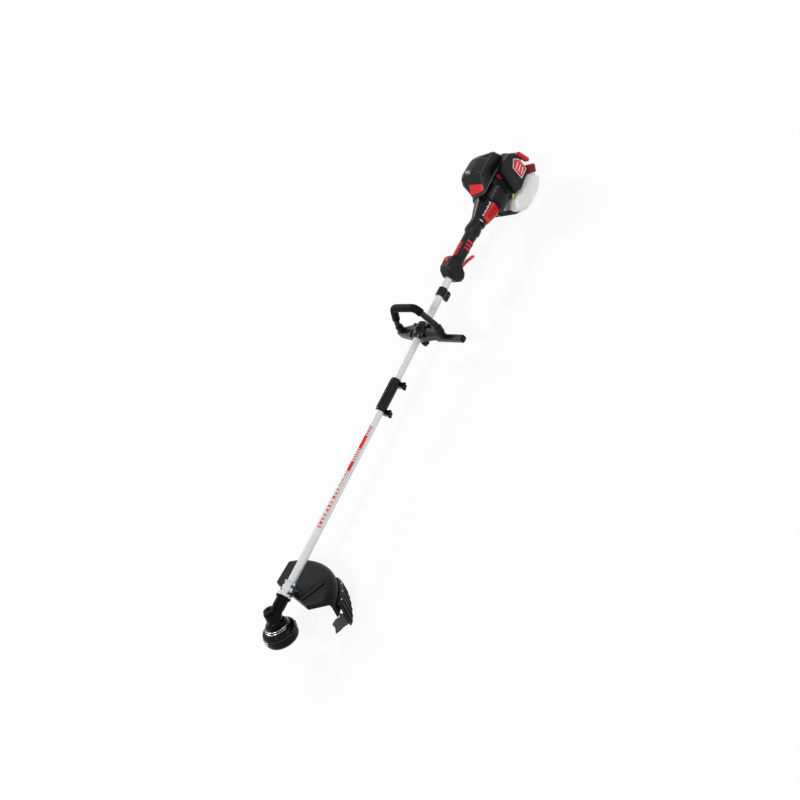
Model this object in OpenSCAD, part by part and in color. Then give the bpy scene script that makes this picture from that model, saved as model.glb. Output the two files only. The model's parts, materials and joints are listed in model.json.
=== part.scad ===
// Petrol string trimmer with a two-piece boom, lying on its engine stand and its guard.
// Shapes are drawn in the boom frame: the gear centre is the origin, +X runs up the boom to
// the engine, +Y is the operator's right and +Z is up. on_ground() then sets it all down.

/* [Boom] */
// Outside diameter of both boom tubes
tube_d = 25.4; // [24:0.1:27]
// Wall of the boom tubes
tube_wall = 1.5; // [1:0.1:2.2]
// Diameter of the drive shafts inside the tubes
shaft_d = 8; // [6:0.5:9]
// Gear centre to the middle of the boom coupler
coupler_at = 743; // [650:1:800]
// Length of the boom coupler
coupler_len = 116; // [104:1:150]
// Outside diameter of the boom coupler
coupler_d = 33; // [33:1:38]
// Gear centre to the middle of the loop handle clamp
handle_at = 978; // [900:1:1010]
// Gear centre to the middle of the harness clamp
harness_at = 1128; // [1100:1:1145]
// Hole for the harness hook
harness_hole_d = 9; // [7:0.5:10]
// Gear centre to the front of the throttle housing
grip_at = 1181; // [1175:1:1260]

/* [Cutting head] */
// Angle between the boom and the spin axis of the cutting head
head_angle = 60; // [56:1:62]
// Diameter of the line head
drum_d = 102; // [100:1:108]
// Height of the line head without its bump knob
drum_h = 50; // [49:1:54]
// Diameter of the bump knob
knob_d = 60; // [54:1:62]
// How far the bump knob can be pushed in
bump_travel = 6; // [4:0.5:6]
// Diameter of the cutting line
line_d = 2.4; // [2:0.1:3]
// Diameter of the steel drive flange above the line head
flange_d = 71; // [64:1:76]
// Teeth on the bevel pinion
pinion_teeth = 12; // [10:1:14]
// Teeth on the bevel gear
gear_teeth = 17; // [16:1:20]

/* [Guard] */
// Radius of the guard's rim
guard_r = 226; // [222:1:234]
// Lowest point of the guard below the boom axis
guard_low = 155; // [150:1:160]
// Thickness of the guard moulding
guard_wall = 3; // [2.5:0.1:4]
// Height of the guard plate above the gear centre
guard_h = 19; // [18:0.5:20]
// Turn of the guard toward the operator's left
guard_swing = 6.3; // [4:0.1:9]
// Tilt of the guard against the plane the line sweeps
guard_tilt = 3.6; // [2.5:0.1:4]
// Lowest point of the skirt below the gear centre, along the spin axis
skirt_drop = 98; // [90:1:100]

/* [Loop handle] */
// Distance between the two ends of the loop
loop_w = 192; // [170:1:210]
// Height of the top bar over the boom axis
loop_h = 103; // [90:1:120]
// Length of the top bar between the middles of its bends
loop_top = 106; // [90:1:120]
// Diameter of the bare loop tube
loop_d = 19; // [16:0.5:21]
// Diameter of the foam grip on the loop
foam_d = 26; // [24:0.5:30]
// Reach of the barrier bar to the left of the boom
bar_reach = 178; // [160:1:200]

/* [Throttle handle] */
// Length from the housing front to the clutch cover
grip_len = 222; // [215:1:240]
// Diameter of the rear grip
grip_d = 42; // [40:1:44]
// Width of the throttle housing
pod_w = 50; // [46:1:56]
// Squeeze of the throttle trigger
trigger_turn = 14; // [10:1:15]

/* [Engine] */
// Diameter of the fan housing
fan_d = 114; // [112:1:124]
// Length of the clutch cover
clutch_len = 84; // [80:1:90]
// Width of the engine shroud
shroud_w = 100; // [96:1:108]
// Wall of the plastic covers
cover_wall = 3; // [2.5:0.1:3.5]
// Width of the fuel tank
tank_w = 106; // [100:1:110]
// Diameter of the fuel cap
cap_d = 46; // [44:1:48]
// Length of the starter grip
pull_len = 58; // [54:1:64]
// Boom axis to the ground under the engine stand
stand_drop = 133; // [132:1:140]
// Width of the stand's foot
stand_w = 60; // [56:1:70]

/* [Hidden] */
$fn = 48;

running = 0.05;         // radial clearance of a shaft that turns
gap = 0.4;              // clearance between pieces that move past each other
tube_r = tube_d / 2;
bore_r = tube_r - tube_wall;
shaft_r = shaft_d / 2;
engine_at = grip_at + grip_len;
stand_at = 200;         // stand foot behind the clutch cover's front
rest_at = 170;          // where the guard's skirt rests on the ground, along the boom
lie_angle = atan2(guard_low - stand_drop, engine_at + stand_at - rest_at);

// ---- Helpers ----------------------------------------------------------------------------

// Lays the boom frame down on the ground, with the middle of the stand's foot at the origin
module on_ground() {
    rotate([0, lie_angle, 0]) translate([-engine_at - stand_at, 0, stand_drop]) children();
}

// Cutting head frame: +Z is the spin axis, pointing up through the gear centre
module head_frame() {
    on_ground() rotate([0, 90 - head_angle, 0]) children();
}

// Guard frame: the head frame swung to the operator's left, +X is the middle of the guard
module guard_frame() {
    head_frame() rotate([0, -guard_tilt, -guard_swing]) children();
}

// Engine frame: the origin is on the boom axis at the clutch cover's front
module engine_frame() {
    on_ground() translate([engine_at, 0, 0]) children();
}

// Turns a child's +Z to +X, at distance x
module along_x(x) {
    translate([x, 0, 0]) rotate([0, 90, 0]) children();
}

// Turns a child drawn in the XZ plane into a plate from y0 to y1
module side_plate(y0, y1) {
    translate([0, y1, 0]) rotate([90, 0, 0]) linear_extrude(y1 - y0) children();
}

module ring(outer, inner, h) {
    difference() {
        cylinder(r = outer, h = h);
        translate([0, 0, -1]) cylinder(r = inner, h = h + 2);
    }
}

// Points of an elliptic arc in a plane
function arc(c, rx, ry, a0, a1, n = 8) =
    [for (i = [0:n]) c + [rx * cos(a0 + (a1 - a0) * i / n), ry * sin(a0 + (a1 - a0) * i / n)]];

// A square round its centre with its corners rounded
module rounded_square(w, r) {
    c = w / 2 - r;
    polygon(concat(arc([c, c], r, r, 0, 90, 4), arc([-c, c], r, r, 90, 180, 4),
        arc([-c, -c], r, r, 180, 270, 4), arc([c, -c], r, r, 270, 360, 4)));
}

// Points along a flat polyline whose corners are rounded with a bend radius
function bent(points, bend, n = 6) = [for (i = [0:len(points) - 1])
    let (last = len(points) - 1, p = points[i])
    if (i == 0 || i == last) [p.x, p.y, 0]
    else let (u = (p - points[i - 1]) / norm(p - points[i - 1]), v = (points[i + 1] - p) / norm(points[i + 1] - p),
        turn = acos(u * v), cut = bend * tan(turn / 2), start = p - u * cut,
        side = sign(cross(u, v)), centre = start + bend * side * [-u.y, u.x])
        each [for (k = [0:n]) let (a = side * turn * k / n, r = start - centre)
            [centre.x + r.x * cos(a) - r.y * sin(a), centre.y + r.x * sin(a) + r.y * cos(a), 0]]];

// Round bar or hose along a route in space, or a sleeve where it has a bore
module hose(route, d, sides = 10, bore = 0) {
    last = len(route) - 1;
    function unit(v) = v / norm(v);
    function leg(i) = unit(route[i + 1] - route[i]);
    function along(i) = i == 0 ? leg(0) : i == last ? leg(last - 1) : unit(leg(i - 1) + leg(i));
    function loops(r) = [for (i = [0:last])
        let (t = along(i), u = unit(cross(t, [0, 0.3, 1])), v = cross(t, u))
        for (k = [0:sides - 1]) route[i] + r * (u * cos(360 * k / sides) + v * sin(360 * k / sides))];
    outer = [for (i = [0:last - 1], k = [0:sides - 1])
        let (n = (k + 1) % sides, a = i * sides, b = a + sides) [a + k, a + n, b + n, b + k]];
    if (bore == 0)
        polyhedron(loops(d / 2), concat(outer, [[for (k = [1:sides]) sides - k],
            [for (k = [0:sides - 1]) last * sides + k]]));
    else {
        shift = (last + 1) * sides;
        inner = [for (f = outer) [f[3] + shift, f[2] + shift, f[1] + shift, f[0] + shift]];
        ends = [for (i = [0, last], k = [0:sides - 1])
            let (n = (k + 1) % sides, a = i * sides, f = [a + k, a + k + shift, a + n + shift, a + n])
            i == 0 ? f : [f[3], f[2], f[1], f[0]]];
        polyhedron(concat(loops(d / 2), loops(bore / 2)), concat(outer, inner, ends));
    }
}

// Points of a smooth curve through a route's own points
function smooth(p, n = 4) = [for (i = [0:len(p) - 2], k = [0:n - 1])
    let (a = p[max(i - 1, 0)], b = p[i], c = p[i + 1], e = p[min(i + 2, len(p) - 1)], t = k / n)
    0.5 * (2 * b + (c - a) * t + (2 * a - 5 * b + 4 * c - e) * t * t
        + (3 * b - a - 3 * c + e) * t * t * t), p[len(p) - 1]];

module hex_bolt(d, under_head) {
    cylinder(d = d, h = under_head);
    translate([0, 0, under_head]) cylinder(d = d * 1.8, h = d * 0.65, $fn = 6);
}

// Star knob with rounded lobes, head up from z = 0
module lobed_knob(d, h, lobes) {
    difference() {
        cylinder(d = d, h = h);
        for (i = [0:lobes - 1]) rotate([0, 0, 360 * i / lobes])
            translate([d * 0.56, 0, -1]) cylinder(d = d * 0.32, h = h + 2);
    }
}

// ---- Gear head --------------------------------------------------------------------------

cone_len = 17;                      // outer cone distance of the bevel pair
bearing_r = 13;                     // head bearings, 10 x 26 x 8
bearing_h = 8;
out_r = 5;                          // output shaft
top_seat = 16;                      // upper head bearing seat
low_seat = -20;                     // lower head bearing seat
pin_seat = 19;                      // pinion bearing seat
pin_bearing_r = 11;
pin_bearing_h = 6;
neck_end = 68;
tube_seat = 30;                     // where the lower tube starts
housing_top = top_seat + bearing_h;
crown_r = 18;                       // housing's top and its cap
ratio = gear_teeth / pinion_teeth;
pinion_cone = atan2(sin(head_angle), ratio + cos(head_angle));
gear_cone = head_angle - pinion_cone;

module gear_housing() {
    color("#232427") difference() {
        union() {
            head_frame() {
                translate([0, 0, low_seat]) cylinder(r = 20.5, h = housing_top - low_seat - 4);
                translate([0, 0, low_seat]) rotate_extrude()
                    polygon([[0, 0], [30, 0], [30, 3.5], [24, 6.5], [19, 14], [0, 14]]);
                translate([0, 0, housing_top - 5]) cylinder(r = crown_r, h = 5);
                for (a = [45:90:315]) rotate([0, 0, a])
                    translate([21, 0, low_seat]) cylinder(r = 4, h = 9);
            }
            on_ground() {
                along_x(0) rotate_extrude()
                    polygon([[0, 6], [19, 6], [19, 20], [17.2, 28], [17.2, neck_end], [0, neck_end]]);
                along_x(neck_end - 9) cylinder(r = 23, h = 9);
                along_x(neck_end - 24) for (a = [0:60:300]) rotate([0, 0, a + 20])
                    translate([15.6, -2, -14]) cube([3, 4, 30]);
                translate([neck_end - 5, 0, 0]) rotate([-125, 0, 0])
                    translate([0, 0, 16]) cylinder(r = 6, h = 13);
            }
        }
        head_frame() {
            translate([0, 0, low_seat - 1]) cylinder(r = bearing_r, h = bearing_h + 1);
            translate([0, 0, low_seat]) cylinder(r = 12, h = top_seat - low_seat + 1);
            translate([0, 0, top_seat]) cylinder(r = bearing_r, h = bearing_h + 1);
            translate([0, 0, housing_top]) cylinder(r = crown_r + 0.5, h = 20);
        }
        on_ground() {
            along_x(0) cylinder(r = 9.5, h = pin_seat + 1);
            along_x(pin_seat) cylinder(r = pin_bearing_r, h = tube_seat - pin_seat + 1);
            along_x(tube_seat) cylinder(r = tube_r, h = neck_end);
        }
    }
}

module gear_cap() {
    color("#1b1c1e") head_frame() difference() {
        translate([0, 0, housing_top]) rotate_extrude()
            polygon(concat([[0, 0], [crown_r, 0]], arc([crown_r - 3, 3.5], 3, 3, 0, 90, 5), [[0, 6.5]]));
        translate([0, 0, housing_top + 4]) cylinder(r = 6, h = 5, $fn = 6);
    }
}

// Outline of a bevel gear's big end
module gear_outline(teeth, pitch_r) {
    module_size = 2 * pitch_r / teeth;
    tip = pitch_r + 0.8 * module_size;
    root = pitch_r - 1.05 * module_size;
    pitch = 360 / teeth;
    polygon([for (i = [0:teeth - 1], p = [[root, -0.27], [tip, -0.1], [tip, 0.1], [root, 0.27]])
        p[0] * [cos((i + p[1]) * pitch), sin((i + p[1]) * pitch)]]);
}

// Straight bevel teeth whose flanks all run to the cone's tip at the origin
module bevel_teeth(teeth, cone) {
    z = cone_len * cos(cone);
    face = 0.4;
    translate([0, 0, z]) mirror([0, 0, 1])
        linear_extrude(face * z, scale = 1 - face) gear_outline(teeth, cone_len * sin(cone));
}

module bevel_pinion() {
    back = cone_len * cos(pinion_cone);
    color("#8a8d90") on_ground() {
        along_x(0) rotate([0, 0, 180 + 180 / pinion_teeth]) bevel_teeth(pinion_teeth, pinion_cone);
        along_x(0) rotate_extrude() polygon([[0, back - 0.5], [5.5, back - 0.5], [5.5, pin_seat - 0.2],
            [out_r, pin_seat - 0.2], [out_r, tube_seat + 12], [0, tube_seat + 12]]);
    }
}

module lower_drive_shaft() {
    color("#9a9da0") on_ground() {
        along_x(tube_seat + 12) cylinder(r = shaft_r, h = coupler_at - tube_seat - 12 - 10);
        along_x(coupler_at - 10) cylinder(r = shaft_r + 1.6, h = 10);
    }
}

module bevel_gear() {
    back = cone_len * cos(gear_cone);
    color("#8a8d90") head_frame() {
        difference() {
            bevel_teeth(gear_teeth, gear_cone);
            translate([0, 0, 1]) cylinder(r = out_r, h = 30);
        }
        translate([0, 0, back]) ring(8, out_r, top_seat - back - 0.2);
    }
}

// ---- Line head --------------------------------------------------------------------------

flange_top = -24;
flange_h = 8;
drum_top = flange_top - flange_h;
drum_r = drum_d / 2;
cover_h = 21;                       // lower cover of the line head
shell_low = drum_top - drum_h + cover_h;
drum_low = drum_top - drum_h;
head_wall = 3;
hub_r = 10;
post_r = 19;                        // post that the spool turns on
spool_r = drum_r - 10;
spool_top = drum_top - 9 - bump_travel;
spool_low = drum_low + 8.5;
line_h = (spool_top + spool_low) / 2 + 4;
knob_r = knob_d / 2;

module output_shaft() {
    color("silver") head_frame() {
        translate([0, 0, drum_top - 10]) cylinder(r = out_r, h = housing_top - 0.5 - drum_top + 10);
        translate([0, 0, flange_top]) cylinder(r = 11, h = low_seat - flange_top - 0.3);
    }
}

module drive_flange() {
    r = flange_d / 2;
    color("#b9bcc0") head_frame() translate([0, 0, flange_top - flange_h]) difference() {
        rotate_extrude() polygon([[out_r, 0], [r - 3, 0], [r, 1], [r, 2.6], [r - 4.5, 3.2],
            [r - 4.5, 4.8], [r, 5.4], [r, 7], [r - 3, flange_h], [out_r, flange_h]]);
        for (a = [0:30:330]) rotate([0, 0, a])
            translate([r - 2, -1.5, 4]) cube([6, 3, 8]);
    }
}

module head_housing() {
    z = shell_low - drum_top;
    color("#1a1b1d") head_frame() translate([0, 0, drum_top]) difference() {
        union() {
            rotate_extrude() polygon(concat(
                [[out_r, 0], [drum_r - 17, 0]], arc([drum_r - 17, -12], 17, 12, 90, 0, 8), [[drum_r, z]],
                [[drum_r - head_wall, z]], arc([drum_r - 17, -12], 17 - head_wall, 12 - head_wall, 0, 90, 8),
                [[hub_r, -head_wall], [hub_r, -17], [out_r, -17], [out_r, -10], [out_r, -5]]));
            for (a = [15:30:345]) rotate([0, 0, a])
                translate([drum_r - 1.5, -2.5, z]) cube([2.7, 5, -z - 14]);
        }
        for (a = [0, 180]) rotate([0, 0, a]) translate([0, 0, line_h - drum_top])
            rotate([0, 90, 0]) cylinder(r = 5, h = drum_r + 5);
        for (a = [22.5:45:337.5]) rotate([0, 0, a])
            translate([drum_r - 26, 0, -5]) cylinder(r = 2.5, h = 8);
    }
}

module head_cover() {
    r = knob_r + 0.8;
    color("#18191b") head_frame() translate([0, 0, drum_low]) difference() {
        rotate_extrude() polygon(concat(
            [[drum_r - head_wall, cover_h], [drum_r, cover_h], [drum_r, cover_h - 4]],
            arc([drum_r - 12, cover_h - 6], 12, cover_h - 6, 0, -90, 8), [[r, 0], [r, head_wall]],
            arc([drum_r - 12, cover_h - 6], 12 - head_wall, cover_h - 6 - head_wall, -90, 0, 8)));
        for (a = [0, 180]) rotate([0, 0, a]) translate([drum_r - 2, -7, cover_h - 8]) cube([5, 14, 5]);
    }
}

module knob_spring() {
    turns = 3;
    low = spool_top + 0.3;
    high = drum_top - head_wall - 1.2;
    color("#a7abaf") head_frame() hose([for (i = [0:18 * turns]) let (a = 20 * i)
        [14 * cos(a), 14 * sin(a), low + 1 + (high - low - 1) * i / (18 * turns)]], 1.8, 8);
}

module bump_knob() {
    top = spool_low - 0.5;
    low = drum_low - 9;
    color("#131415") head_frame() difference() {
        rotate_extrude() polygon(concat(
            [[0, low]], arc([knob_r - 12, low + 9], 12, 9, -90, 0, 6), [[knob_r, top]],
            [[post_r - running, top], [post_r - running, spool_top - 1], [post_r - 5, spool_top - 1],
             [post_r - 5, top], [0, top]]));
        for (a = [0:45:315]) rotate([0, 0, a]) translate([knob_r, 0, low - 1]) cylinder(r = 4, h = 8);
    }
}

module line_spool() {
    color("#3a3c40") head_frame() rotate_extrude() polygon([
        [post_r, spool_low], [spool_r, spool_low], [spool_r, spool_low + 2.5], [post_r + 3, spool_low + 2.5],
        [post_r + 3, spool_top - 2.5], [spool_r, spool_top - 2.5], [spool_r, spool_top], [post_r, spool_top]]);
}

module line_coil() {
    room = spool_top - spool_low - 5;
    turns = floor(room / line_d);
    pitch = room / turns;
    color("#d8402c") head_frame() translate([0, 0, spool_low + 2.5]) rotate_extrude()
        polygon(concat([[post_r + 3, 0], [spool_r - 6, 0]],
            [for (i = [0:turns - 1], p = [[-0.6, 0.05], [0, 0.3], [0, 0.7], [-0.6, 0.95]])
                [spool_r - 6 + line_d * 0.4 + p.x, (i + p.y) * pitch]],
            [[spool_r - 6, room], [post_r + 3, room]]));
}

// ---- Guard ------------------------------------------------------------------------------

front_w = 81;                       // spin axis to the guard's straight front edge
front_half = 102;                   // half the length of that edge
front_shift = 12;                   // its middle, to the operator's right
side_turn = [-45, 36];              // its sides' directions, from straight back
rim_centre = [-6, 37, 0];           // centre of the round rim
rim_fillet = 26;
hem = 15;                           // depth of the turned-down front and sides
skirt_from = -47;                   // skirt's ends, as angles round the rim's centre
skirt_to = -15;
skirt_out = 6;                      // the skirt stands off the rim
bolt_x = [90, 108];                 // guard bolts, up into the clamp's block

// Plan of the guard: a straight front edge, 45 degree sides and a round rim
module guard_plan(h0, h1) {
    far = guard_r + 30;
    translate([0, front_shift, h0]) linear_extrude(h1 - h0) polygon([[front_w, -front_half],
        [far, -front_half + (far - front_w) * tan(side_turn[0])],
        [far, front_half + (far - front_w) * tan(side_turn[1])], [front_w, front_half]]);
}

// Everything below the ground under the cutting head
module below_ground() {
    translate([-engine_at - stand_at - 100, -400, -200]) cube([900, 800, 200]);
}

module guard_section(r, wall, low) {
    polygon(concat([[front_w - 60, guard_h - wall], [front_w - 60, guard_h]],
        arc([r - rim_fillet, guard_h - rim_fillet], rim_fillet, rim_fillet, 90, 0, 10),
        [[r, low], [r - wall, low]],
        arc([r - rim_fillet, guard_h - rim_fillet], rim_fillet - wall, rim_fillet - wall, 0, 90, 10)));
}

// Everything inside the middle of the guard's wall
module guard_inside() {
    r = rim_fillet - guard_wall / 2;
    centre = [guard_r - rim_fillet, guard_h - rim_fillet];
    translate(rim_centre) rotate_extrude()
        polygon(concat([[0, -70], [0, centre[1] + r]], arc(centre, r, r, 90, 0, 8), [[centre[0] + r, -70]]));
}

module guard_walls() {
    spare = 10;
    top = hem - guard_wall / 2;
    translate([front_w, front_shift, guard_h - hem]) {
        translate([-spare, -front_half - spare, 0]) cube([guard_wall + spare, 2 * (front_half + spare), top]);
        for (t = side_turn) translate([0, sign(t) * front_half, 0]) rotate([0, 0, t])
            translate([-spare, t > 0 ? -guard_wall : -spare, 0]) cube([220, guard_wall + spare, top]);
        for (y = [-82, -12, 48]) translate([1, y, 7]) cube([200, 2.5, top - 7]);
    }
}

module guard() {
    color("#202124") guard_frame() difference() {
        union() {
            intersection() {
                guard_plan(-80, 40);
                union() {
                    translate(rim_centre) rotate_extrude() guard_section(guard_r, guard_wall, -60);
                    intersection() {
                        guard_inside();
                        guard_walls();
                    }
                }
            }
            translate([front_w + 6, -56, guard_h - 2]) linear_extrude(5)
                offset(r = 6, $fn = 24) offset(delta = -6) square([80, 28]);
        }
        translate([0, 0, -25]) rotate([7.3, 0, 0]) translate([-400, -400, -200]) cube([800, 800, 200]);
        for (x = bolt_x) translate([x, x * tan(guard_swing), 0]) cylinder(d = 6, h = 40);
    }
}

module guard_skirt() {
    inner = guard_r + skirt_out;
    outer = inner + 3.2;
    color("#191a1c") difference() {
        guard_frame() translate(rim_centre) difference() {
            union() {
                rotate_extrude(angle = skirt_to - skirt_from, start = skirt_from)
                    polygon([[guard_r + 0.3, -13], [guard_r + 0.3, -25], [inner, -31], [inner, -skirt_drop],
                        [outer, -skirt_drop], [outer, -27], [guard_r + 4, -13]]);
                for (a = [skirt_from + 3:5:skirt_to - 2]) rotate([0, 0, a])
                    translate([inner + 1, -1.25, -skirt_drop]) cube([4.2, 2.5, skirt_drop - 30]);
            }
            rotate([0, 0, skirt_from]) translate([guard_r - 10, 0, -skirt_drop]) rotate([12, 0, 0])
                translate([0, -60, -20]) cube([40, 60, 130]);
        }
        below_ground();
    }
}

module line_cutter() {
    wall = guard_r + skirt_out;
    color("#26282b") difference() {
        guard_frame() translate(rim_centre) rotate([0, 0, skirt_from]) {
            side_plate(-1.2, 1.2) polygon([[wall - 1.2, -90], [wall - 1.2, -52], [wall - 13, -47],
                [wall - 16, -60], [wall - 34, -66], [wall - 51, -81], [wall - 48, -95], [wall - 57, -118],
                [wall - 36, -108], [wall - 21, -98]]);
            translate([wall - 3.6, -1.2, -90]) cube([2.4, 17, 38]);
        }
        below_ground();
    }
}

// ---- Guard clamp ------------------------------------------------------------------------

clamp_from = 70;
clamp_len = 42;
ear_y = 21;
ear_bolts = [clamp_from + 11, clamp_from + 31];

clamp_w = 2 * ear_y + 12;
flange_r = 23;

module guard_bracket() {
    color("#aeb3b8") difference() {
        on_ground() union() {
            translate([clamp_from, -clamp_w / 2, -6]) cube([clamp_len, clamp_w, 5]);
            translate([clamp_from + 3, -14, -50]) cube([clamp_len - 7, 28, 47]);
            difference() {
                along_x(clamp_from) cylinder(r = flange_r, h = 5);
                translate([0, -50, -1]) cube([200, 100, 50]);
            }
        }
        on_ground() {
            along_x(0) cylinder(r = tube_r, h = 200);
            for (x = ear_bolts, y = [-ear_y, ear_y]) translate([x, y, -20]) cylinder(d = 5, h = 40);
            translate([clamp_from + 14, -20, -25]) cube([14, 40, 9]);
        }
        guard_frame() {
            translate([0, -100, guard_h - 80]) cube([200, 200, 80]);
            for (x = bolt_x) translate([x, x * tan(guard_swing), 0]) cylinder(d = 6, h = guard_h + 12);
        }
    }
}

module clamp_strap() {
    color("#b4b8bc") on_ground() difference() {
        union() {
            along_x(clamp_from) cylinder(r = tube_r + 3, h = clamp_len);
            along_x(clamp_from) cylinder(r = flange_r, h = 5);
            translate([clamp_from, -clamp_w / 2, -1]) cube([clamp_len, clamp_w, 4]);
        }
        along_x(0) cylinder(r = tube_r, h = 200);
        translate([0, -50, -51]) cube([200, 100, 50]);
        for (x = ear_bolts, y = [-ear_y, ear_y]) translate([x, y, -20]) cylinder(d = 5, h = 40);
    }
}

module bracket_bolts() {
    color("#3a3d40") {
        on_ground() for (x = ear_bolts, y = [-ear_y, ear_y]) translate([x, y, -9]) {
            hex_bolt(5, 12);
            translate([0, 0, -1]) cylinder(d = 9, h = 4, $fn = 6);
        }
        guard_frame() for (x = bolt_x) translate([x, x * tan(guard_swing), guard_h - guard_wall]) {
            cylinder(d = 6, h = guard_wall + 8);
            translate([0, 0, -4]) cylinder(d = 10, h = 4, $fn = 6);
        }
    }
}

// ---- Boom -------------------------------------------------------------------------------

tube_join = coupler_at + 15;        // where the two tubes meet inside the coupler
cover_neck = 20;                    // depth of the upper tube in the clutch cover
drum_hub_r = 6;
drum_bearing_r = 14;
drum_base = clutch_len - 26;        // clutch drum's floor behind the cover's front
bush_len = 14;

module lower_tube() {
    color("#d9dcde") on_ground() difference() {
        along_x(tube_seat) ring(tube_r, bore_r, tube_join - tube_seat);
        translate([button_x, 0, 0]) cylinder(r = button_r + gap, h = 2 * tube_r);
    }
}

module upper_tube() {
    color("#d9dcde") on_ground() along_x(tube_join)
        ring(tube_r, bore_r, engine_at + cover_neck - tube_join);
}

module ball_bearings() {
    color("silver") head_frame() for (z = [low_seat, top_seat])
        translate([0, 0, z]) ring(bearing_r, out_r + running, bearing_h);
    color("silver") on_ground() {
        along_x(pin_seat) ring(pin_bearing_r, out_r + running, pin_bearing_h);
        along_x(engine_at + cover_neck + 2) ring(drum_bearing_r, drum_hub_r + running, bearing_h);
        for (x = [190:150:640]) along_x(x) ring(bore_r, shaft_r + running, bush_len);
        for (x = [860:150:1310]) along_x(x) ring(bore_r, shaft_r + running, bush_len);
    }
}

module upper_drive_shaft() {
    color("#9a9da0") on_ground() {
        along_x(coupler_at + 0.3) cylinder(r = shaft_r, h = engine_at + cover_neck - coupler_at - 1);
        along_x(engine_at + cover_neck - 1) cylinder(r = drum_hub_r, h = drum_base + 1 - cover_neck);
    }
}

coupler_r = coupler_d / 2;
clamp_bolt_z = -coupler_r - 6;
knob_x = [coupler_at - 52, coupler_at + 48];
knob_out = coupler_r + 1.8;         // the clamp bosses reach past the coupler's side
button_x = coupler_at - 40;
button_r = 5;

module coupler_body() {
    color("#17181a") on_ground() difference() {
        union() {
            along_x(coupler_at - coupler_len / 2) rotate_extrude() polygon([[0, 0], [coupler_r - 1.5, 0],
                [coupler_r, 2], [coupler_r, coupler_len - 2], [coupler_r - 1.5, coupler_len], [0, coupler_len]]);
            for (a = [150, 172, 188, 210]) along_x(coupler_at - coupler_len / 2 + 8)
                rotate([0, 0, a]) translate([coupler_r - 1, -1.2, 0]) cube([2.2, 2.4, coupler_len - 16]);
            for (x = [coupler_at - 40:6:coupler_at + 40], side = [-1, 1]) translate([x, 0, 0])
                rotate([side * 90 + 90, 0, 0]) rotate([0, 20, 0]) translate([-1.2, -7, coupler_r - 2])
                    cube([2.4, 14, 2.6]);
            for (x = knob_x) translate([x - 8, -knob_out, clamp_bolt_z - 6]) cube([16, knob_out + 8, coupler_r]);
        }
        along_x(0) cylinder(r = tube_r, h = engine_at);
        translate([coupler_at - coupler_len / 2 - 1, -1.25, -2 * coupler_r])
            cube([coupler_len + 2, 2.5, 2 * coupler_r]);
        for (x = knob_x) translate([x, 20, clamp_bolt_z]) rotate([90, 0, 0])
            cylinder(r = 3 + running, h = knob_out + 40);
        translate([button_x, 0, 5]) cylinder(r = button_r + running, h = 30);
    }
}

module wing_knob(x) {
    color("#1c1d1f") on_ground() translate([x, 0, clamp_bolt_z]) rotate([90, 0, 0]) {
        translate([0, 0, -11]) cylinder(r = 3, h = knob_out + 13);
        translate([0, 0, -13.3]) cylinder(r = 5.5, h = 5, $fn = 6);
        translate([0, 0, knob_out + 0.3]) cylinder(r = 6.5, h = 8);
        translate([0, 0, knob_out + 0.3]) linear_extrude(7) rotate(35) {
            translate([-9, -3]) square([18, 6]);
            for (s = [-1, 1]) translate([9 * s, 0]) circle(r = 4.2);
        }
    }
}

module coupler_knob_front() { wing_knob(knob_x[0]); }

module coupler_knob_rear() { wing_knob(knob_x[1]); }

module release_button() {
    color("#2a2c2f") on_ground() translate([button_x, 0, tube_r + 0.2]) rotate_extrude()
        polygon([[0, 0], [button_r, 0], [button_r, coupler_r - tube_r + 2], [button_r - 1.5, coupler_r - tube_r + 3.6],
            [0, coupler_r - tube_r + 4]]);
}

// ---- Loop handle ------------------------------------------------------------------------

handle_len = 56;
loop_lean = 12.4;                   // lean of the loop toward the engine
ear_r = 13;
plate_h = 13;
saddle_r = 23;
knob_offset = -18;                  // clamp bolt ahead of the handle's middle
bar_from = 62;                      // inner end of the barrier bar, left of the boom

// Plan of the clamp: a saddle over the boom with an ear at each side
module clamp_plan() {
    hull() {
        translate([-handle_len / 2, -22]) square([handle_len, 44]);
        for (s = [-1, 1]) translate([-5, s * loop_w / 2]) circle(r = ear_r, $fn = 32);
    }
}

module handle_base() {
    color("#151618") on_ground() translate([handle_at, 0, 0]) difference() {
        union() {
            translate([0, 0, -plate_h]) linear_extrude(plate_h) clamp_plan();
            along_x(-handle_len / 2) cylinder(r = saddle_r - 3, h = handle_len);
            translate([knob_offset, 0, -26]) cylinder(r = 9, h = 20);
        }
        translate([-60, -150, 0]) cube([120, 300, 60]);
        along_x(-100) cylinder(r = tube_r + running, h = 200);
        translate([knob_offset, 0, -40]) cylinder(r = 3 + running, h = 40);
        for (s = [-1, 1]) translate([-4, s * 58, -plate_h - 1]) cylinder(r = 12, h = 6);
    }
}

module handle_cap() {
    color("#1a1b1d") on_ground() translate([handle_at, 0, 0]) difference() {
        union() {
            linear_extrude(plate_h - 4.6) clamp_plan();
            along_x(-handle_len / 2) rotate_extrude() polygon([[0, 0], [saddle_r - 4, 0], [saddle_r, 8],
                [saddle_r + 2, 20], [saddle_r + 2, handle_len - 14], [saddle_r - 2, handle_len], [0, handle_len]]);
            loop_place() loop_ends(loop_d / 2 + 3.5, 0);
            for (s = [-1, 1], x = [-18, 18]) translate([x, s * 30, 6]) cylinder(r = 7, h = 8);
        }
        translate([-60, -150, -60]) cube([120, 300, 60]);
        along_x(-100) cylinder(r = tube_r + running, h = 200);
        loop_place() loop_ends(loop_d / 2, 6);
    }
}

// Round sockets over the two ends of the loop
module loop_ends(r, from) {
    for (s = [-1, 1]) translate([s * loop_w / 2, from, 0]) rotate([-90, 0, 0]) cylinder(r = r, h = 24 - from);
}

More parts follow.
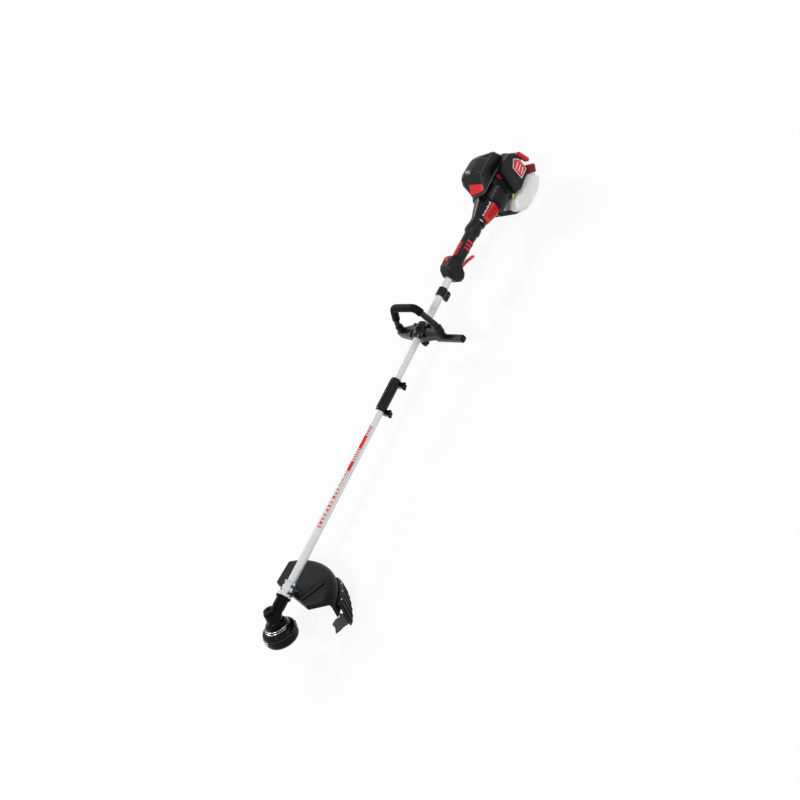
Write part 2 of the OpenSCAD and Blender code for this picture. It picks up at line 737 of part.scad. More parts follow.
// The loop's own plane: +X runs to the operator's left and +Y up the loop
module loop_place() {
    rotate([0, loop_lean, 0]) rotate([90, 0, 0]) rotate([0, -90, 0]) children();
}

// Route of the loop, from the right ear over the top to the left ear
loop_route = bent([[-loop_w / 2, 6], [-loop_w / 2, 32], [-loop_top / 2, loop_h], [loop_top / 2, loop_h],
    [loop_w / 2, 32], [loop_w / 2, 6]], 26);
foam_start = (loop_route[7] * 2 + loop_route[8]) / 3;
foam_end = (loop_route[21] * 4 + loop_route[22]) / 5;

module handle_loop() {
    color("#1c1d20") on_ground() translate([handle_at, 0, 0]) loop_place() hose(loop_route, loop_d, 16);
}

module foam_grip() {
    route = concat([foam_start], [for (i = [8:21]) loop_route[i]], [foam_end]);
    color("#101112") on_ground() translate([handle_at, 0, 0]) loop_place() hose(route, foam_d, 16, loop_d + 0.5);
}

module barrier_bar() {
    color("#141517") on_ground() translate([handle_at - 5, 0, -plate_h]) {
        translate([0, 0, -10.5]) rotate([90, 0, 0]) translate([0, 0, bar_from]) {
            linear_extrude(bar_reach - bar_from) rounded_square(21, 5);
            translate([0, 0, bar_reach - bar_from]) linear_extrude(2.5) rounded_square(18, 4.5);
            translate([0, 0, bar_reach - bar_from + 2.5]) linear_extrude(2.5) rounded_square(14, 4);
        }
    }
}

module handle_knob() {
    color("#1b1c1f") on_ground() translate([handle_at + knob_offset, 0, 0]) {
        translate([0, 0, -30]) cylinder(r = 3, h = 16);
        translate([0, 0, -40]) lobed_knob(24, 13.6, 6);
    }
}

module harness_clamp() {
    r = tube_r + 2;
    color("#18191b") on_ground() translate([harness_at, 0, 0]) difference() {
        union() {
            along_x(-16) rotate_extrude() polygon([[0, 0], [r, 0], [r + 1.5, 3], [r + 1.5, 29], [r, 32], [0, 32]]);
            translate([-12, -5, -r - 18]) cube([26, 10, 22]);
            translate([10, 5, -r - 8]) rotate([90, 0, 0]) cylinder(r = 10, h = 10);
        }
        along_x(-50) cylinder(r = tube_r, h = 100);
        translate([-20, -1, -r - 3]) cube([40, 2, r + 3]);
        translate([8, 20, -r - 9]) rotate([90, 0, 0]) cylinder(d = harness_hole_d, h = 40);
    }
}

// ---- Throttle handle --------------------------------------------------------------------

grip_r = grip_d / 2;
pod_half = pod_w / 2;
grip_up = 4;                        // grip's centre above the boom axis
pivot = [50, -20];                  // trigger pin, from the housing front and boom axis
pin_r = 2.5;
trigger_w = 10;
slot_top = -tube_r - 2.5;           // roof of the trigger's slot
switch_x = 50;
switch_z = 41;

module pod_outline() {
    polygon([[1, 2], [6, -24], [17, -37], [33, -41], [48, -34], [64, -6], [75, 18], [70, 34], [58, 42],
        [22, 41], [11, 34], [2, 16]]);
}

module grip_frame() {
    on_ground() translate([grip_at, 0, 0]) children();
}

module grip_centre() {
    translate([0, 0, grip_up]) children();
}

// Both halves of the moulding in one, before they are split along the middle
module throttle_moulding() {
    difference() {
        union() {
            hull() {
                side_plate(-pod_half + 8, pod_half - 8) pod_outline();
                side_plate(-pod_half, pod_half) offset(delta = -7) pod_outline();
            }
            grip_centre() along_x(60) rotate_extrude() polygon([[0, 0], [grip_r, 0], [grip_r, grip_len - 106],
                [grip_r + 3, grip_len - 101], [grip_r + 6, grip_len - 96], [grip_r + 6, grip_len - 84],
                [grip_r + 4, grip_len - 74], [grip_r + 2, grip_len - 60], [0, grip_len - 60]]);
            grip_centre() for (x = [110:26:162]) along_x(x) rotate([0, 0, -50]) rotate_extrude(angle = 100)
                polygon([[grip_r - 1, 0], [grip_r - 1, 14], [grip_r + 1.6, 10], [grip_r + 1.6, 4]]);
        }
        along_x(-100) cylinder(r = tube_r, h = 500);
        translate([42, -trigger_w / 2 - gap, -70]) cube([90, trigger_w + 2 * gap, 70 + slot_top]);
        translate([switch_x - 9, -7, switch_z - 12]) cube([18, 14, 30]);
        translate([switch_x, 10, switch_z - 1.5]) rotate([90, 0, 0]) cylinder(r = 1.5 + running, h = 20);
    }
}

module throttle_housing_left() {
    color("#26272a") grip_frame() {
        intersection() {
            throttle_moulding();
            translate([-50, -100, -100]) cube([400, 100, 200]);
        }
        translate([pivot.x, trigger_w / 2 + gap + 4, pivot.y]) rotate([90, 0, 0])
            cylinder(r = pin_r, h = trigger_w + 2 * gap + 8);
    }
}

module throttle_housing_right() {
    color("#232427") grip_frame() difference() {
        intersection() {
            throttle_moulding();
            translate([-50, 0, -100]) cube([400, 100, 200]);
        }
        translate([pivot.x, 50, pivot.y]) rotate([90, 0, 0]) translate([0, 0, 50 - trigger_w / 2 - gap - 4])
            cylinder(r = pin_r, h = 30);
    }
}

module grip_inlays() {
    color("#d8262b") grip_frame() grip_centre() {
        for (x = [80:9:130]) along_x(x) rotate([0, 0, 152]) rotate_extrude(angle = 56)
            polygon([[grip_r, 0], [grip_r, 6], [grip_r + 1.5, 5], [grip_r + 1.5, 1]]);
        for (x = [114:13:144]) along_x(x) rotate([0, 0, 238]) rotate_extrude(angle = 62)
            polygon([[grip_r, 0], [grip_r, 7], [grip_r + 1.5, 6], [grip_r + 1.5, 1]]);
    }
}

// Highest point of the trigger at distance x that stays in its slot when the trigger is squeezed
function trigger_top(x) =
    pivot.y + (slot_top - pivot.y - 0.6 - (x - pivot.x) * sin(trigger_turn)) / cos(trigger_turn);

module throttle_trigger() {
    color("#c22a30") grip_frame() difference() {
        side_plate(-trigger_w / 2, trigger_w / 2) polygon(concat([[pivot.x - 4, slot_top - 2]],
            [for (x = [pivot.x:13:pivot.x + 52]) [x, trigger_top(x)]], arc([124, -43], 4, 4, 70, -110, 6),
            [[100, -37.5], [84, -31], [70, -27], [56, -24.5], [46, -23.5]]));
        translate([pivot.x, 20, pivot.y]) rotate([90, 0, 0]) cylinder(r = pin_r + running, h = 40);
    }
}

module stop_switch() {
    color("#e2502c") grip_frame() translate([switch_x, 0, switch_z]) {
        rotate([90, 0, 0]) translate([0, 0, -6]) linear_extrude(12) intersection() {
            translate([0, -1.5]) circle(r = 8);
            translate([-8, -9]) square([16, 13]);
        }
        translate([0, 9.5, -1.5]) rotate([90, 0, 0]) cylinder(r = 1.5, h = 19);
    }
}

// ---- Clutch and fan ---------------------------------------------------------------------

fan_r = fan_d / 2;
fan_len = 48;
crank_r = 6;
drum_in_r = 26;
drum_wall = 2.5;
main_bearing_r = 16;
block_at = clutch_len + fan_len;    // front of the crankcase
block_len = 83;
starter_at = block_at + block_len;
crank_from = drum_base + 6;
crank_end = starter_at + 40;

panel = [17, clutch_len - 8];       // ends of the vent panel on the clutch cover

// Outside radius of the clutch cover's cone at distance x
function cone_r(x) = 28 + (x - 16) * 0.27;

module clutch_cover() {
    lip = clutch_len - 5;
    seat_end = cover_neck + 2 + bearing_h;
    color("#1b1c1e") engine_frame() difference() {
        along_x(0) rotate_extrude() polygon([[tube_r, 0], [26, 0], [27, 3], [26.5, 9], [cone_r(16), 16],
            [cone_r(lip), lip], [fan_r - 4, lip], [fan_r - 4, clutch_len], [cone_r(lip) - cover_wall, clutch_len],
            [cone_r(42) - cover_wall, 42], [18, seat_end], [drum_bearing_r, seat_end],
            [drum_bearing_r, cover_neck + 2], [drum_hub_r + 3, cover_neck + 2], [drum_hub_r + 3, cover_neck],
            [tube_r, cover_neck]]);
        for (x = [46:8:panel[1] - 6]) along_x(x) rotate([0, 0, 262]) rotate_extrude(angle = 54)
            translate([20, 0]) square([60, 4]);
        for (x = [40:9:panel[1] - 6]) along_x(x) rotate([0, 0, 40]) rotate_extrude(angle = 40)
            translate([20, 0]) square([60, 4]);
    }
}

module vent_panel() {
    color("#cf2a2c") engine_frame() difference() {
        along_x(0) rotate([0, 0, 250]) rotate_extrude(angle = 76) polygon([[cone_r(panel[0]), panel[0]],
            [cone_r(panel[1]), panel[1]], [cone_r(panel[1]) + 1.5, panel[1]],
            [cone_r(panel[1] - 3) + 3, panel[1] - 3], [cone_r(panel[0] + 3) + 3, panel[0] + 3],
            [cone_r(panel[0]) + 1.5, panel[0]]]);
        for (x = [30:8:panel[1] - 6]) along_x(x) rotate([0, 0, 262]) rotate_extrude(angle = 54)
            translate([20, 0]) square([60, 4]);
    }
}

module clutch_drum() {
    color("#8d9093") engine_frame() along_x(drum_base) rotate_extrude() polygon([[0, 0],
        [drum_in_r + drum_wall, 0], [drum_in_r + drum_wall, 22], [drum_in_r, 22], [drum_in_r, 3], [0, 3]]);
}

module crankshaft() {
    color("#a4a7aa") engine_frame() {
        along_x(crank_from) cylinder(r = crank_r, h = crank_end - crank_from);
        along_x(crank_from + 2) difference() {
            cylinder(r = drum_in_r - 1, h = 14);
            for (a = [0, 180]) rotate([0, 0, a]) translate([9, -1.5, -1]) cube([30, 3, 16]);
            for (a = [0, 180]) rotate([0, 0, a + 60]) translate([16, 0, -1]) cylinder(r = 3.5, h = 16);
        }
    }
}

module flywheel() {
    rim = fan_r - 12;
    color("#9b9ea1") engine_frame() {
        along_x(clutch_len + 24) rotate_extrude() polygon([[crank_r, -14], [13, -14], [13, 2], [rim - 6, 2],
            [rim - 6, -6], [rim, -6], [rim, 14], [rim - 6, 14], [rim - 6, 7], [13, 7], [13, 16], [crank_r, 16]]);
        along_x(clutch_len + 4) for (a = [0:30:330]) rotate([0, 0, a]) translate([16, -1.2, 0])
            rotate([0, 0, 12]) cube([rim - 20, 2.4, 22.5]);
    }
}

module fan_housing() {
    inner = fan_r - 6;
    color("#1a1b1d") engine_frame() difference() {
        along_x(clutch_len) rotate_extrude() polygon(concat([[fan_r - 4, 0], [fan_r - 2, 0]],
            [for (i = [0:4], p = [[-2, 2], [0, 4], [0, 7], [-2, 9]]) [fan_r + p.x, i * 8 + p.y]],
            [[fan_r - 2, fan_len], [main_bearing_r, fan_len], [main_bearing_r, fan_len - 4], [inner, fan_len - 4],
             [inner, 0]]));
        translate([clutch_len + 14, -30, fan_r - 14]) cube([26, 60, 30]);
    }
}

// ---- Engine -----------------------------------------------------------------------------

block_w = 38;                       // half the width of the crankcase
block_top = 48;
cyl_x = 161;                        // middle of the cylinder
fin_half = 35;
fin_count = 6;
fin_pitch = 6;
port_z = 70;

module engine_block() {
    color("#2b2d30") engine_frame() difference() {
        union() {
            hull() {
                translate([block_at, -block_w + 8, -50]) cube([block_len, 2 * block_w - 16, 50 + block_top]);
                translate([block_at, -block_w, -40]) cube([block_len, 2 * block_w, 32 + block_top]);
            }
            translate([cyl_x, 0, block_top - 2]) cylinder(r = 27, h = 48);
            for (i = [0:fin_count - 1]) translate([cyl_x - fin_half, -fin_half - 3, fan_r + 2 + fin_pitch * i])
                cube([2 * fin_half, 2 * fin_half + 6, 2.4]);
            translate([cyl_x - 22, -20, block_top + 44]) cube([40, 40, 10]);
            for (y = [-block_w - 1.5, block_w - 0.5], x = [block_at + 10:18:block_at + 70])
                translate([x, y, -34]) cube([3, 2, 62]);
            translate([cyl_x - 14, fin_half - 13, port_z - 12]) cube([28, 20, 24]);
            translate([cyl_x + 4, -fin_half - 8, 4]) cube([28, 40, 26]);
        }
        along_x(block_at - 1) cylinder(r = crank_r + running, h = block_len + 2);
    }
}

// Lowest edge of the shroud above the boom axis
shroud_low = 64;

// Side view of the shroud at four places across it, from its left wall to its right wall
shroud_slices = [
    [-shroud_w / 2, [[66, 0], [66, 68], [104, 106], [114, 111], [170, 111], [208, 106], [222, 77], [222, 0]]],
    [0, [[60, 0], [60, 68], [112, 119], [124, 123], [176, 121], [204, 108], [222, 84], [222, 0]]],
    [0.3 * shroud_w, [[86, 0], [88, 92], [118, 121], [126, 124], [176, 121], [204, 106], [222, 84], [222, 0]]],
    [shroud_w / 2, [[91, 0], [91, 92], [104, 111], [119, 116], [171, 114], [200, 103], [222, 82], [222, 0]]]];

// Shroud's form: a front that leans back, a roof that tilts to the left and rounded side walls
module shroud_form(inset) {
    hull() for (slice = shroud_slices) let (y = slice[0], wall = abs(y) == shroud_w / 2 ? inset : 0) {
        side_plate(y - sign(y) * (wall + 7), y - sign(y) * (wall + 7) + 0.1) offset(delta = -inset) polygon(slice[1]);
        side_plate(y - sign(y) * (wall + 0.1), y - sign(y) * (wall + 0.1) + 0.1) offset(delta = -inset - 6)
            polygon(slice[1]);
    }
}

module engine_shroud() {
    half = shroud_w / 2;
    color("#202226") engine_frame() difference() {
        shroud_form(0);
        shroud_form(cover_wall);
        translate([-20, -100, -10]) cube([300, 200, shroud_low + 10]);
        translate([cyl_x - 34, half - 30, 50]) cube([70, 60, 52]);
        for (i = [0:2]) translate([184 + 9 * i, -34, shroud_low + 10]) cube([4, 60, 60]);
        for (i = [0:4]) translate([116 + 9 * i, -half - 1, 76]) cube([4, 10, 22]);
    }
}

module muffler() {
    y0 = fin_half + 7.3;
    color("#55585c") engine_frame() difference() {
        union() {
            translate([cyl_x - 20, y0, port_z - 16]) cube([40, 3, 32]);
            hull() {
                translate([cyl_x - 28, y0 + 3, port_z - 32]) cube([56, 20, 60]);
                translate([cyl_x - 23, y0 + 3, port_z - 27]) cube([46, 26, 50]);
            }
        }
        for (i = [0:4]) translate([cyl_x - 16, y0 + 27, port_z - 20 + 8 * i]) cube([32, 5, 3]);
    }
}

carb_x = [cyl_x + 4, cyl_x + 46];
carb_y = -fin_half - 8;
filter_y = -62;
filter_depth = 22;
primer_r = 8;

module carburettor() {
    color("#b7babd") engine_frame() difference() {
        union() {
            translate([carb_x[0], carb_y - 14, 0]) cube([carb_x[1] - carb_x[0], 14, 34]);
            translate([carb_x[0] + 4, filter_y, -22]) cube([34, carb_y - 8 - filter_y, 23]);
            translate([carb_x[0] + 6, filter_y + 1, 4]) cube([30, carb_y - 13 - filter_y, 26]);
            side_plate(filter_y, filter_y + 2) offset(delta = -8.4) filter_outline();
        }
        primer_place() cylinder(r = primer_r + gap, h = 7);
    }
}

// Primer's place on the carburettor: +Z points into the bowl
module primer_place() {
    translate([carb_x[0] - 0.5, carb_y - 1 - primer_r, 14]) rotate([0, 90, 0]) children();
}

module choke_lever() {
    color("#d2413f") engine_frame() translate([carb_x[0] - 9, filter_y + 8, 40]) rotate([90, 0, 0]) {
        difference() {
            linear_extrude(3) hull() {
                circle(r = 5);
                translate([-6, 15]) circle(r = 5, $fn = 32);
            }
            translate([-6, 15, -1]) cylinder(r = 2.4, h = 6);
        }
        translate([0, 0, 3]) cylinder(r = 2.5, h = 2.6);
    }
}

module primer_bulb() {
    color("#d6322f") engine_frame() primer_place() rotate([180, 0, 0])
        rotate_extrude() polygon(concat([[0, -3], [primer_r, -3], [primer_r, 0]], arc([0, 0], primer_r - 1, 9, 0, 90, 8)));
}

module filter_outline() {
    polygon([[226, 70], [243, 54], [241, -22], [222, -31], [166, -38], [140, -26], [148, 27], [155, 68],
        [180, 77]]);
}

module air_filter() {
    color("#6a6f58") engine_frame() side_plate(filter_y - 12, filter_y - 0.4)
        offset(delta = -11) filter_outline();
}

module filter_cover() {
    deep = filter_y - filter_depth;
    color("#1d1e20") engine_frame() difference() {
        hull() {
            side_plate(deep + 7, filter_y + 2) filter_outline();
            side_plate(deep, deep + 7) offset(delta = -6) filter_outline();
        }
        side_plate(deep + cover_wall + 3, filter_y + 10) offset(delta = -8) filter_outline();
    }
}

// ---- Starter ----------------------------------------------------------------------------

starter_r = 46;
starter_len = 60;
pulley_r = 30;
pull_x = starter_at + 56;
pull_lean = -17.5;                  // lean of the starter grip

module starter_housing() {
    color("#1c1d1f") engine_frame() difference() {
        union() {
            along_x(starter_at) rotate_extrude() polygon(concat([[0, 0], [starter_r, 0]],
                arc([starter_r - 22, starter_len - 24], 22, 24, 0, 90, 7), [[0, starter_len]]));
            translate([pull_x, -starter_r + 2, 6]) rotate([90, 0, 0]) cylinder(r = 9, h = 7);
            translate([pull_x - 9, -starter_r + 2, -3]) cube([15, 20, 18]);
        }
        along_x(starter_at - 1) cylinder(r = starter_r - 3, h = 33);
        along_x(starter_at + 30) cylinder(r = pulley_r + 4.5, h = 13);
        for (a = [0:30:330]) along_x(starter_at + 40) rotate([0, 0, a]) translate([20, -2, 0])
            cube([14, 4, 60]);
        translate([pull_x, 0, 6]) rotate([90, 0, 0]) cylinder(r = 2.6, h = 80);
    }
}

module starter_pulley() {
    color("#d6d2c4") engine_frame() along_x(crank_end - 14) rotate_extrude() polygon([[crank_r + running, 0],
        [pulley_r + 3, 0], [pulley_r + 3, 2], [pulley_r, 4], [pulley_r, 8], [pulley_r + 3, 10], [pulley_r + 3, 12],
        [crank_r + running, 12]]);
}

module starter_grip() {
    color("#c9262b") engine_frame() translate([pull_x, -starter_r - 5.5, 6]) rotate([0, pull_lean, 0]) {
        difference() {
            rotate([90, 0, 0]) linear_extrude(13) hull() for (s = [-1, 1])
                translate([0, s * (pull_len / 2 - 7)]) circle(r = 7, $fn = 32);
            for (i = [-2:2]) translate([-10, -15, i * 11 - 1.5]) cube([20, 5, 3]);
        }
        rotate([-90, 0, 0]) cylinder(r = 2.2, h = 12);
    }
}

// ---- Fuel and stand ---------------------------------------------------------------------

tank_y = [-56, -56 + tank_w];
neck = [268, -32, -78];             // fuel neck's foot
neck_lean = 39;                     // lean of the neck to the rear
neck_r = 19;
neck_len = 22;
cap_r = cap_d / 2;

module tank_outline() {
    polygon([[146, -56], [122, -81], [128, -99], [156, -120], [190, -126.4], [230, -126.4], [264, -119],
        [280, -100], [278, -84], [260, -64], [240, -56]]);
}

module neck_frame() {
    translate(neck) rotate([0, neck_lean, 0]) children();
}

module fuel_tank() {
    color("#e8e8e2") engine_frame() difference() {
        union() {
            hull() {
                side_plate(tank_y[0] + 9, tank_y[1] - 9) tank_outline();
                side_plate(tank_y[0], tank_y[1]) offset(delta = -8) tank_outline();
            }
            neck_frame() cylinder(r = neck_r, h = neck_len);
        }
        neck_frame() translate([0, 0, neck_len - 14]) cylinder(r = neck_r - 4, h = 20);
    }
}

module fuel_cap() {
    color("#b5242a") engine_frame() neck_frame() translate([0, 0, neck_len - 14]) difference() {
        union() {
            cylinder(r = cap_r - 1.5, h = 28);
            for (a = [0:20:340]) rotate([0, 0, a]) translate([cap_r - 2.5, -2, 1]) cube([2.5, 4, 24]);
        }
        translate([0, 0, -1]) cylinder(r = neck_r + gap, h = 15.4);
    }
}

module fuel_lines() {
    color("#c9b25a") engine_frame() {
        hose(smooth([[141, -44, -57.5], [143, -47, -50], [150, -50, -38], [156, -53, -26],
            [160, -55, -16], [165.2, -55, -12]]), 6);
        hose(smooth([[152, -40, -54.5], [153, -46, -47], [159, -51, -44], [168, -54, -40],
            [180, -55, -32], [182, -55, -22]]), 6);
    }
}

module stand() {
    strut = 14;
    color("#17181a") difference() {
        union() {
            engine_frame() {
                for (y = [-strut - 5, strut - 5]) side_plate(y, y + 10) polygon([[66, -30], [82, -30],
                    [100, -62], [140, -98], [170, -121], [stand_at + 10, 6 - stand_drop],
                    [stand_at - 14, 1 - stand_drop], [156, -127], [128, -110], [80, -62]]);
                for (x = [96, 118]) translate([x - 4, -strut, -68 - (x - 96) * 0.9]) cube([8, 2 * strut, 6]);
            }
            translate([-14, -stand_w / 2, 0]) cube([28, stand_w, 6]);
        }
        engine_frame() {
            along_x(0) rotate_extrude() polygon([[0, 40], [cone_r(40) + 3.4, 40],
                [cone_r(clutch_len - 5) + 3.4, clutch_len - 5], [fan_r + 0.5, clutch_len - 5],
                [fan_r + 0.5, 200], [0, 200]]);
            hull() {
                side_plate(tank_y[0] + 9, tank_y[1] - 9) offset(delta = 0.5) tank_outline();
                side_plate(tank_y[0], tank_y[1]) offset(delta = -7.5) tank_outline();
            }
        }
    }
}

gear_housing();
gear_cap();
ball_bearings();
bevel_pinion();
lower_drive_shaft();
bevel_gear();
output_shaft();
drive_flange();
head_housing();
head_cover();
knob_spring();
bump_knob();
line_spool();
line_coil();
guard();
guard_skirt();
line_cutter();
guard_bracket();
clamp_strap();
bracket_bolts();
lower_tube();
coupler_body();
coupler_knob_front();
coupler_knob_rear();
release_button();
upper_tube();
upper_drive_shaft();
handle_base();
handle_cap();
handle_loop();
foam_grip();
barrier_bar();
handle_knob();
harness_clamp();
throttle_housing_left();
throttle_housing_right();
grip_inlays();
throttle_trigger();
stop_switch();
clutch_cover();
vent_panel();
clutch_drum();
crankshaft();
flywheel();
fan_housing();
engine_block();
engine_shroud();
muffler();
carburettor();
choke_lever();
primer_bulb();
air_filter();
filter_cover();
starter_housing();
starter_pulley();
starter_grip();
fuel_tank();
fuel_cap();
fuel_lines();
stand();
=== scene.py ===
# %% [markdown]
# # String trimmer
# The imported CAD model gives every solid its shape, its place and its body. This script gives
# each solid a finish and adds the small things that a solid model leaves out: screws, plain
# printed marks, stiffening beads, eyelets and line ends. The frame comes first, because every
# piece takes its place from it.

# %% Load the frame
import json
import math

import bmesh
import bpy
from mathutils import Matrix, Vector
from mathutils.bvhtree import BVHTree


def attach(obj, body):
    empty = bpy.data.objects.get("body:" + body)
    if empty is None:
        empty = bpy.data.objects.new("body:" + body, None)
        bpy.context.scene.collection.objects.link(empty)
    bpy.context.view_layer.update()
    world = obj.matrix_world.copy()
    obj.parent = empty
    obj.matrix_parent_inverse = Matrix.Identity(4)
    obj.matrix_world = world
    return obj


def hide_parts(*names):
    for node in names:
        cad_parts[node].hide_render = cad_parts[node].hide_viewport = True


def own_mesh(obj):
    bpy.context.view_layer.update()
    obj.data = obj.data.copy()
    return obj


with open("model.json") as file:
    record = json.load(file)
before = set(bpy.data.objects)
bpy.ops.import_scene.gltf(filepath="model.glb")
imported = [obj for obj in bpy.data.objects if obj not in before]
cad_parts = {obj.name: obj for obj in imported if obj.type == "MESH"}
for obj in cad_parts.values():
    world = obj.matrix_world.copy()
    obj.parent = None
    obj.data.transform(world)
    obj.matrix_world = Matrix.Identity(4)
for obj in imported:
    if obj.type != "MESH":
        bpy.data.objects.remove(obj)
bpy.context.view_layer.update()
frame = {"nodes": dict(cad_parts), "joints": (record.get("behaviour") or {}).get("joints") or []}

# %% [markdown]
# The trimmer was drawn along its boom and then laid down on its stand and guard, so the boom
# falls a little toward the engine. Working in the frame's metres would make every number odd,
# so a small matrix takes boom coordinates, in millimetres from the gear centre, to the frame.
# +X runs up the boom, +Y is the operator's right, +Z is up. The axes are read from the joints.
# The cutting head and the guard have frames of their own, turned down from the boom.

# %% Boom, head, engine and guard frames
MM = 0.001
GUARD_SWING, GUARD_TILT = -6.3, -3.6
JOINT = {j["name"]: j for j in frame["joints"]}
gear_centre = Vector(JOINT["head_spin"]["pos_m"])
boom_axis = Vector(JOINT["upper_drive_spin"]["axis"]).normalized()
spin_axis = Vector(JOINT["head_spin"]["axis"]).normalized()
side = Vector((0, 1, 0))


def axes(x, z, origin):
    """Matrix from millimetres along x, the operator's right and z to the frame."""
    y = z.cross(x)
    m = Matrix((x, y, z)).transposed().to_4x4() @ Matrix.Scale(MM, 4)
    m.translation = origin
    return m


def moved(x, y, z):
    return Matrix.Translation((x, y, z))


def turned(degrees, axis):
    return Matrix.Rotation(math.radians(degrees), 4, axis)


boom = axes(boom_axis, boom_axis.cross(side), gear_centre)
head = axes(side.cross(spin_axis), spin_axis, gear_centre)
clutch_front = (boom.inverted() @ Vector(JOINT["crank_spin"]["pos_m"])).x
engine = boom @ moved(clutch_front, 0, 0)
guard = head @ turned(GUARD_SWING, "Z") @ turned(GUARD_TILT, "Y")
print("clutch cover's front is", round(clutch_front), "mm up the boom")

# %% [markdown]
# The camera stands high on the operator's left, almost three metres from the boom's middle,
# and is rolled so that the boom runs from the lower left to the upper right of the view.

# %% Camera
camera_data = bpy.data.cameras.new("camera")
camera_data.sensor_width = 36
camera_data.lens = 35.67
camera_data.shift_x = -0.00096
camera_data.shift_y = 0.00059
camera = bpy.data.objects.new("camera", camera_data)
camera.location = (-1.4603, -1.9501, 1.5228)
camera.rotation_euler = [math.radians(a) for a in (40.532, 41.109, -55.010)]
bpy.context.scene.collection.objects.link(camera)
bpy.context.scene.camera = camera
print("camera lens", camera_data.lens, "mm")

# %% [markdown]
# Black plastic shows its form mostly by what it reflects. A small lamp would leave one hard
# dot on it, so the key, the fill and the rim are discs about two metres across, which draw soft
# lines along the mouldings. They stand some metres off, so that the long boom is lit evenly.

# %% Lamps
scene = bpy.context.scene
scene.view_settings.view_transform = "Standard"


def lamp(name, where, target, size, power):
    data = bpy.data.lights.new(name, "AREA")
    data.shape = "DISK"
    data.size = size
    data.energy = power
    obj = bpy.data.objects.new(name, data)
    obj.location = where
    obj.rotation_euler = (Vector(target) - Vector(where)).to_track_quat("-Z", "Y").to_euler()
    scene.collection.objects.link(obj)
    print(name, "lamp,", power, "W")


lamp("key", (-5.2, -3.4, 6.6), (-0.8, 0, 0.1), 2.2, 300)
lamp("fill", (3.6, -5.0, 3.4), (-0.6, 0, 0.2), 2.0, 90)
lamp("rim", (0.6, 5.2, 4.6), (-0.7, 0, 0.1), 2.0, 150)

# %% [markdown]
# The studio round the trimmer is white to look at, but a white world of full strength would
# flood the object with light. Light Path tells the rays apart: what the camera, a mirror or a
# clear part sees is plain white, and the light that falls on the object comes from a dim sky.

# %% A world that is seen as white
SKY_LIGHT = 0.38
world = bpy.data.worlds.new("studio")
world.use_nodes = True
scene.world = world


def seen_white(tree, plain, lit):
    """Shows the plain shader to camera, mirrors and glass, and the lit shader to all else."""
    path = tree.nodes.new("ShaderNodeLightPath")
    seen = path.outputs["Is Camera Ray"]
    for other in ("Is Glossy Ray", "Is Transmission Ray"):
        either = tree.nodes.new("ShaderNodeMath")
        either.operation = "MAXIMUM"
        tree.links.new(seen, either.inputs[0])
        tree.links.new(path.outputs[other], either.inputs[1])
        seen = either.outputs[0]
    mix = tree.nodes.new("ShaderNodeMixShader")
    tree.links.new(seen, mix.inputs[0])
    tree.links.new(lit.outputs[0], mix.inputs[1])
    tree.links.new(plain.outputs[0], mix.inputs[2])
    return mix


sky = world.node_tree
sky.nodes.clear()
soft_light = sky.nodes.new("ShaderNodeBackground")
soft_light.inputs["Color"].default_value = (0.95, 0.97, 1, 1)
soft_light.inputs["Strength"].default_value = SKY_LIGHT
white = sky.nodes.new("ShaderNodeBackground")
white.inputs["Color"].default_value = (1, 1, 1, 1)
world_out = sky.nodes.new("ShaderNodeOutputWorld")
sky.links.new(seen_white(sky, white, soft_light).outputs[0], world_out.inputs["Surface"])
print("the sky lights at", SKY_LIGHT, "and is seen as 1")

# %% [markdown]
# The floor is one large flat face, a little below ground level so that it never shares a plane
# with a foot. A plain pale floor would be greyer than the white behind it and show its edge. So
# a white glow lies over it like a veil: near the trimmer it still lets a faint shadow through,
# and farther out it is full, so that the floor runs into the background.

# %% Floor
FLOOR_HALF, FLOOR_DROP = 60, 0.0006
VEIL_FROM, VEIL_TO, VEIL_NEAR, VEIL_FAR = 0.9, 2.4, 0.88, 1
trimmer_middle = (-0.8, 0, 0)
floor_mesh = bmesh.new()
bmesh.ops.create_grid(floor_mesh, x_segments=1, y_segments=1, size=FLOOR_HALF)
floor_data = bpy.data.meshes.new("floor")
floor_mesh.to_mesh(floor_data)
floor_mesh.free()
floor = bpy.data.objects.new("floor", floor_data)
floor.data.transform(moved(0, 0, -FLOOR_DROP))
scene.collection.objects.link(floor)
floor_finish = bpy.data.materials.new("pale floor")
floor_finish.use_nodes = True
tree = floor_finish.node_tree
shader = tree.nodes["Principled BSDF"]
shader.inputs["Base Color"].default_value = (0.9, 0.9, 0.9, 1)
shader.inputs["Roughness"].default_value = 0.9
shader.inputs["Specular IOR Level"].default_value = 0.2
glow = tree.nodes.new("ShaderNodeEmission")
veil = tree.nodes.new("ShaderNodeMixShader")
away = tree.nodes.new("ShaderNodeVectorMath")
away.operation = "DISTANCE"
away.inputs[1].default_value = trimmer_middle
tree.links.new(tree.nodes.new("ShaderNodeTexCoord").outputs["Object"], away.inputs[0])
fade = tree.nodes.new("ShaderNodeMapRange")
for socket, number in (("From Min", VEIL_FROM), ("From Max", VEIL_TO),
                       ("To Min", VEIL_NEAR), ("To Max", VEIL_FAR)):
    fade.inputs[socket].default_value = number
tree.links.new(away.outputs["Value"], fade.inputs["Value"])
tree.links.new(fade.outputs[0], veil.inputs[0])
tree.links.new(shader.outputs[0], veil.inputs[1])
tree.links.new(glow.outputs[0], veil.inputs[2])
floor_out = tree.nodes["Material Output"]
tree.links.new(seen_white(tree, veil, shader).outputs[0], floor_out.inputs["Surface"])
floor.data.materials.append(floor_finish)
print("floor", 2 * FLOOR_HALF, "m across")

# %% [markdown]
# The finishes need the same few nodes again and again: a noise, a change of range and a mix of
# two colours. Small functions add and link them, so that a finish reads in a few lines.

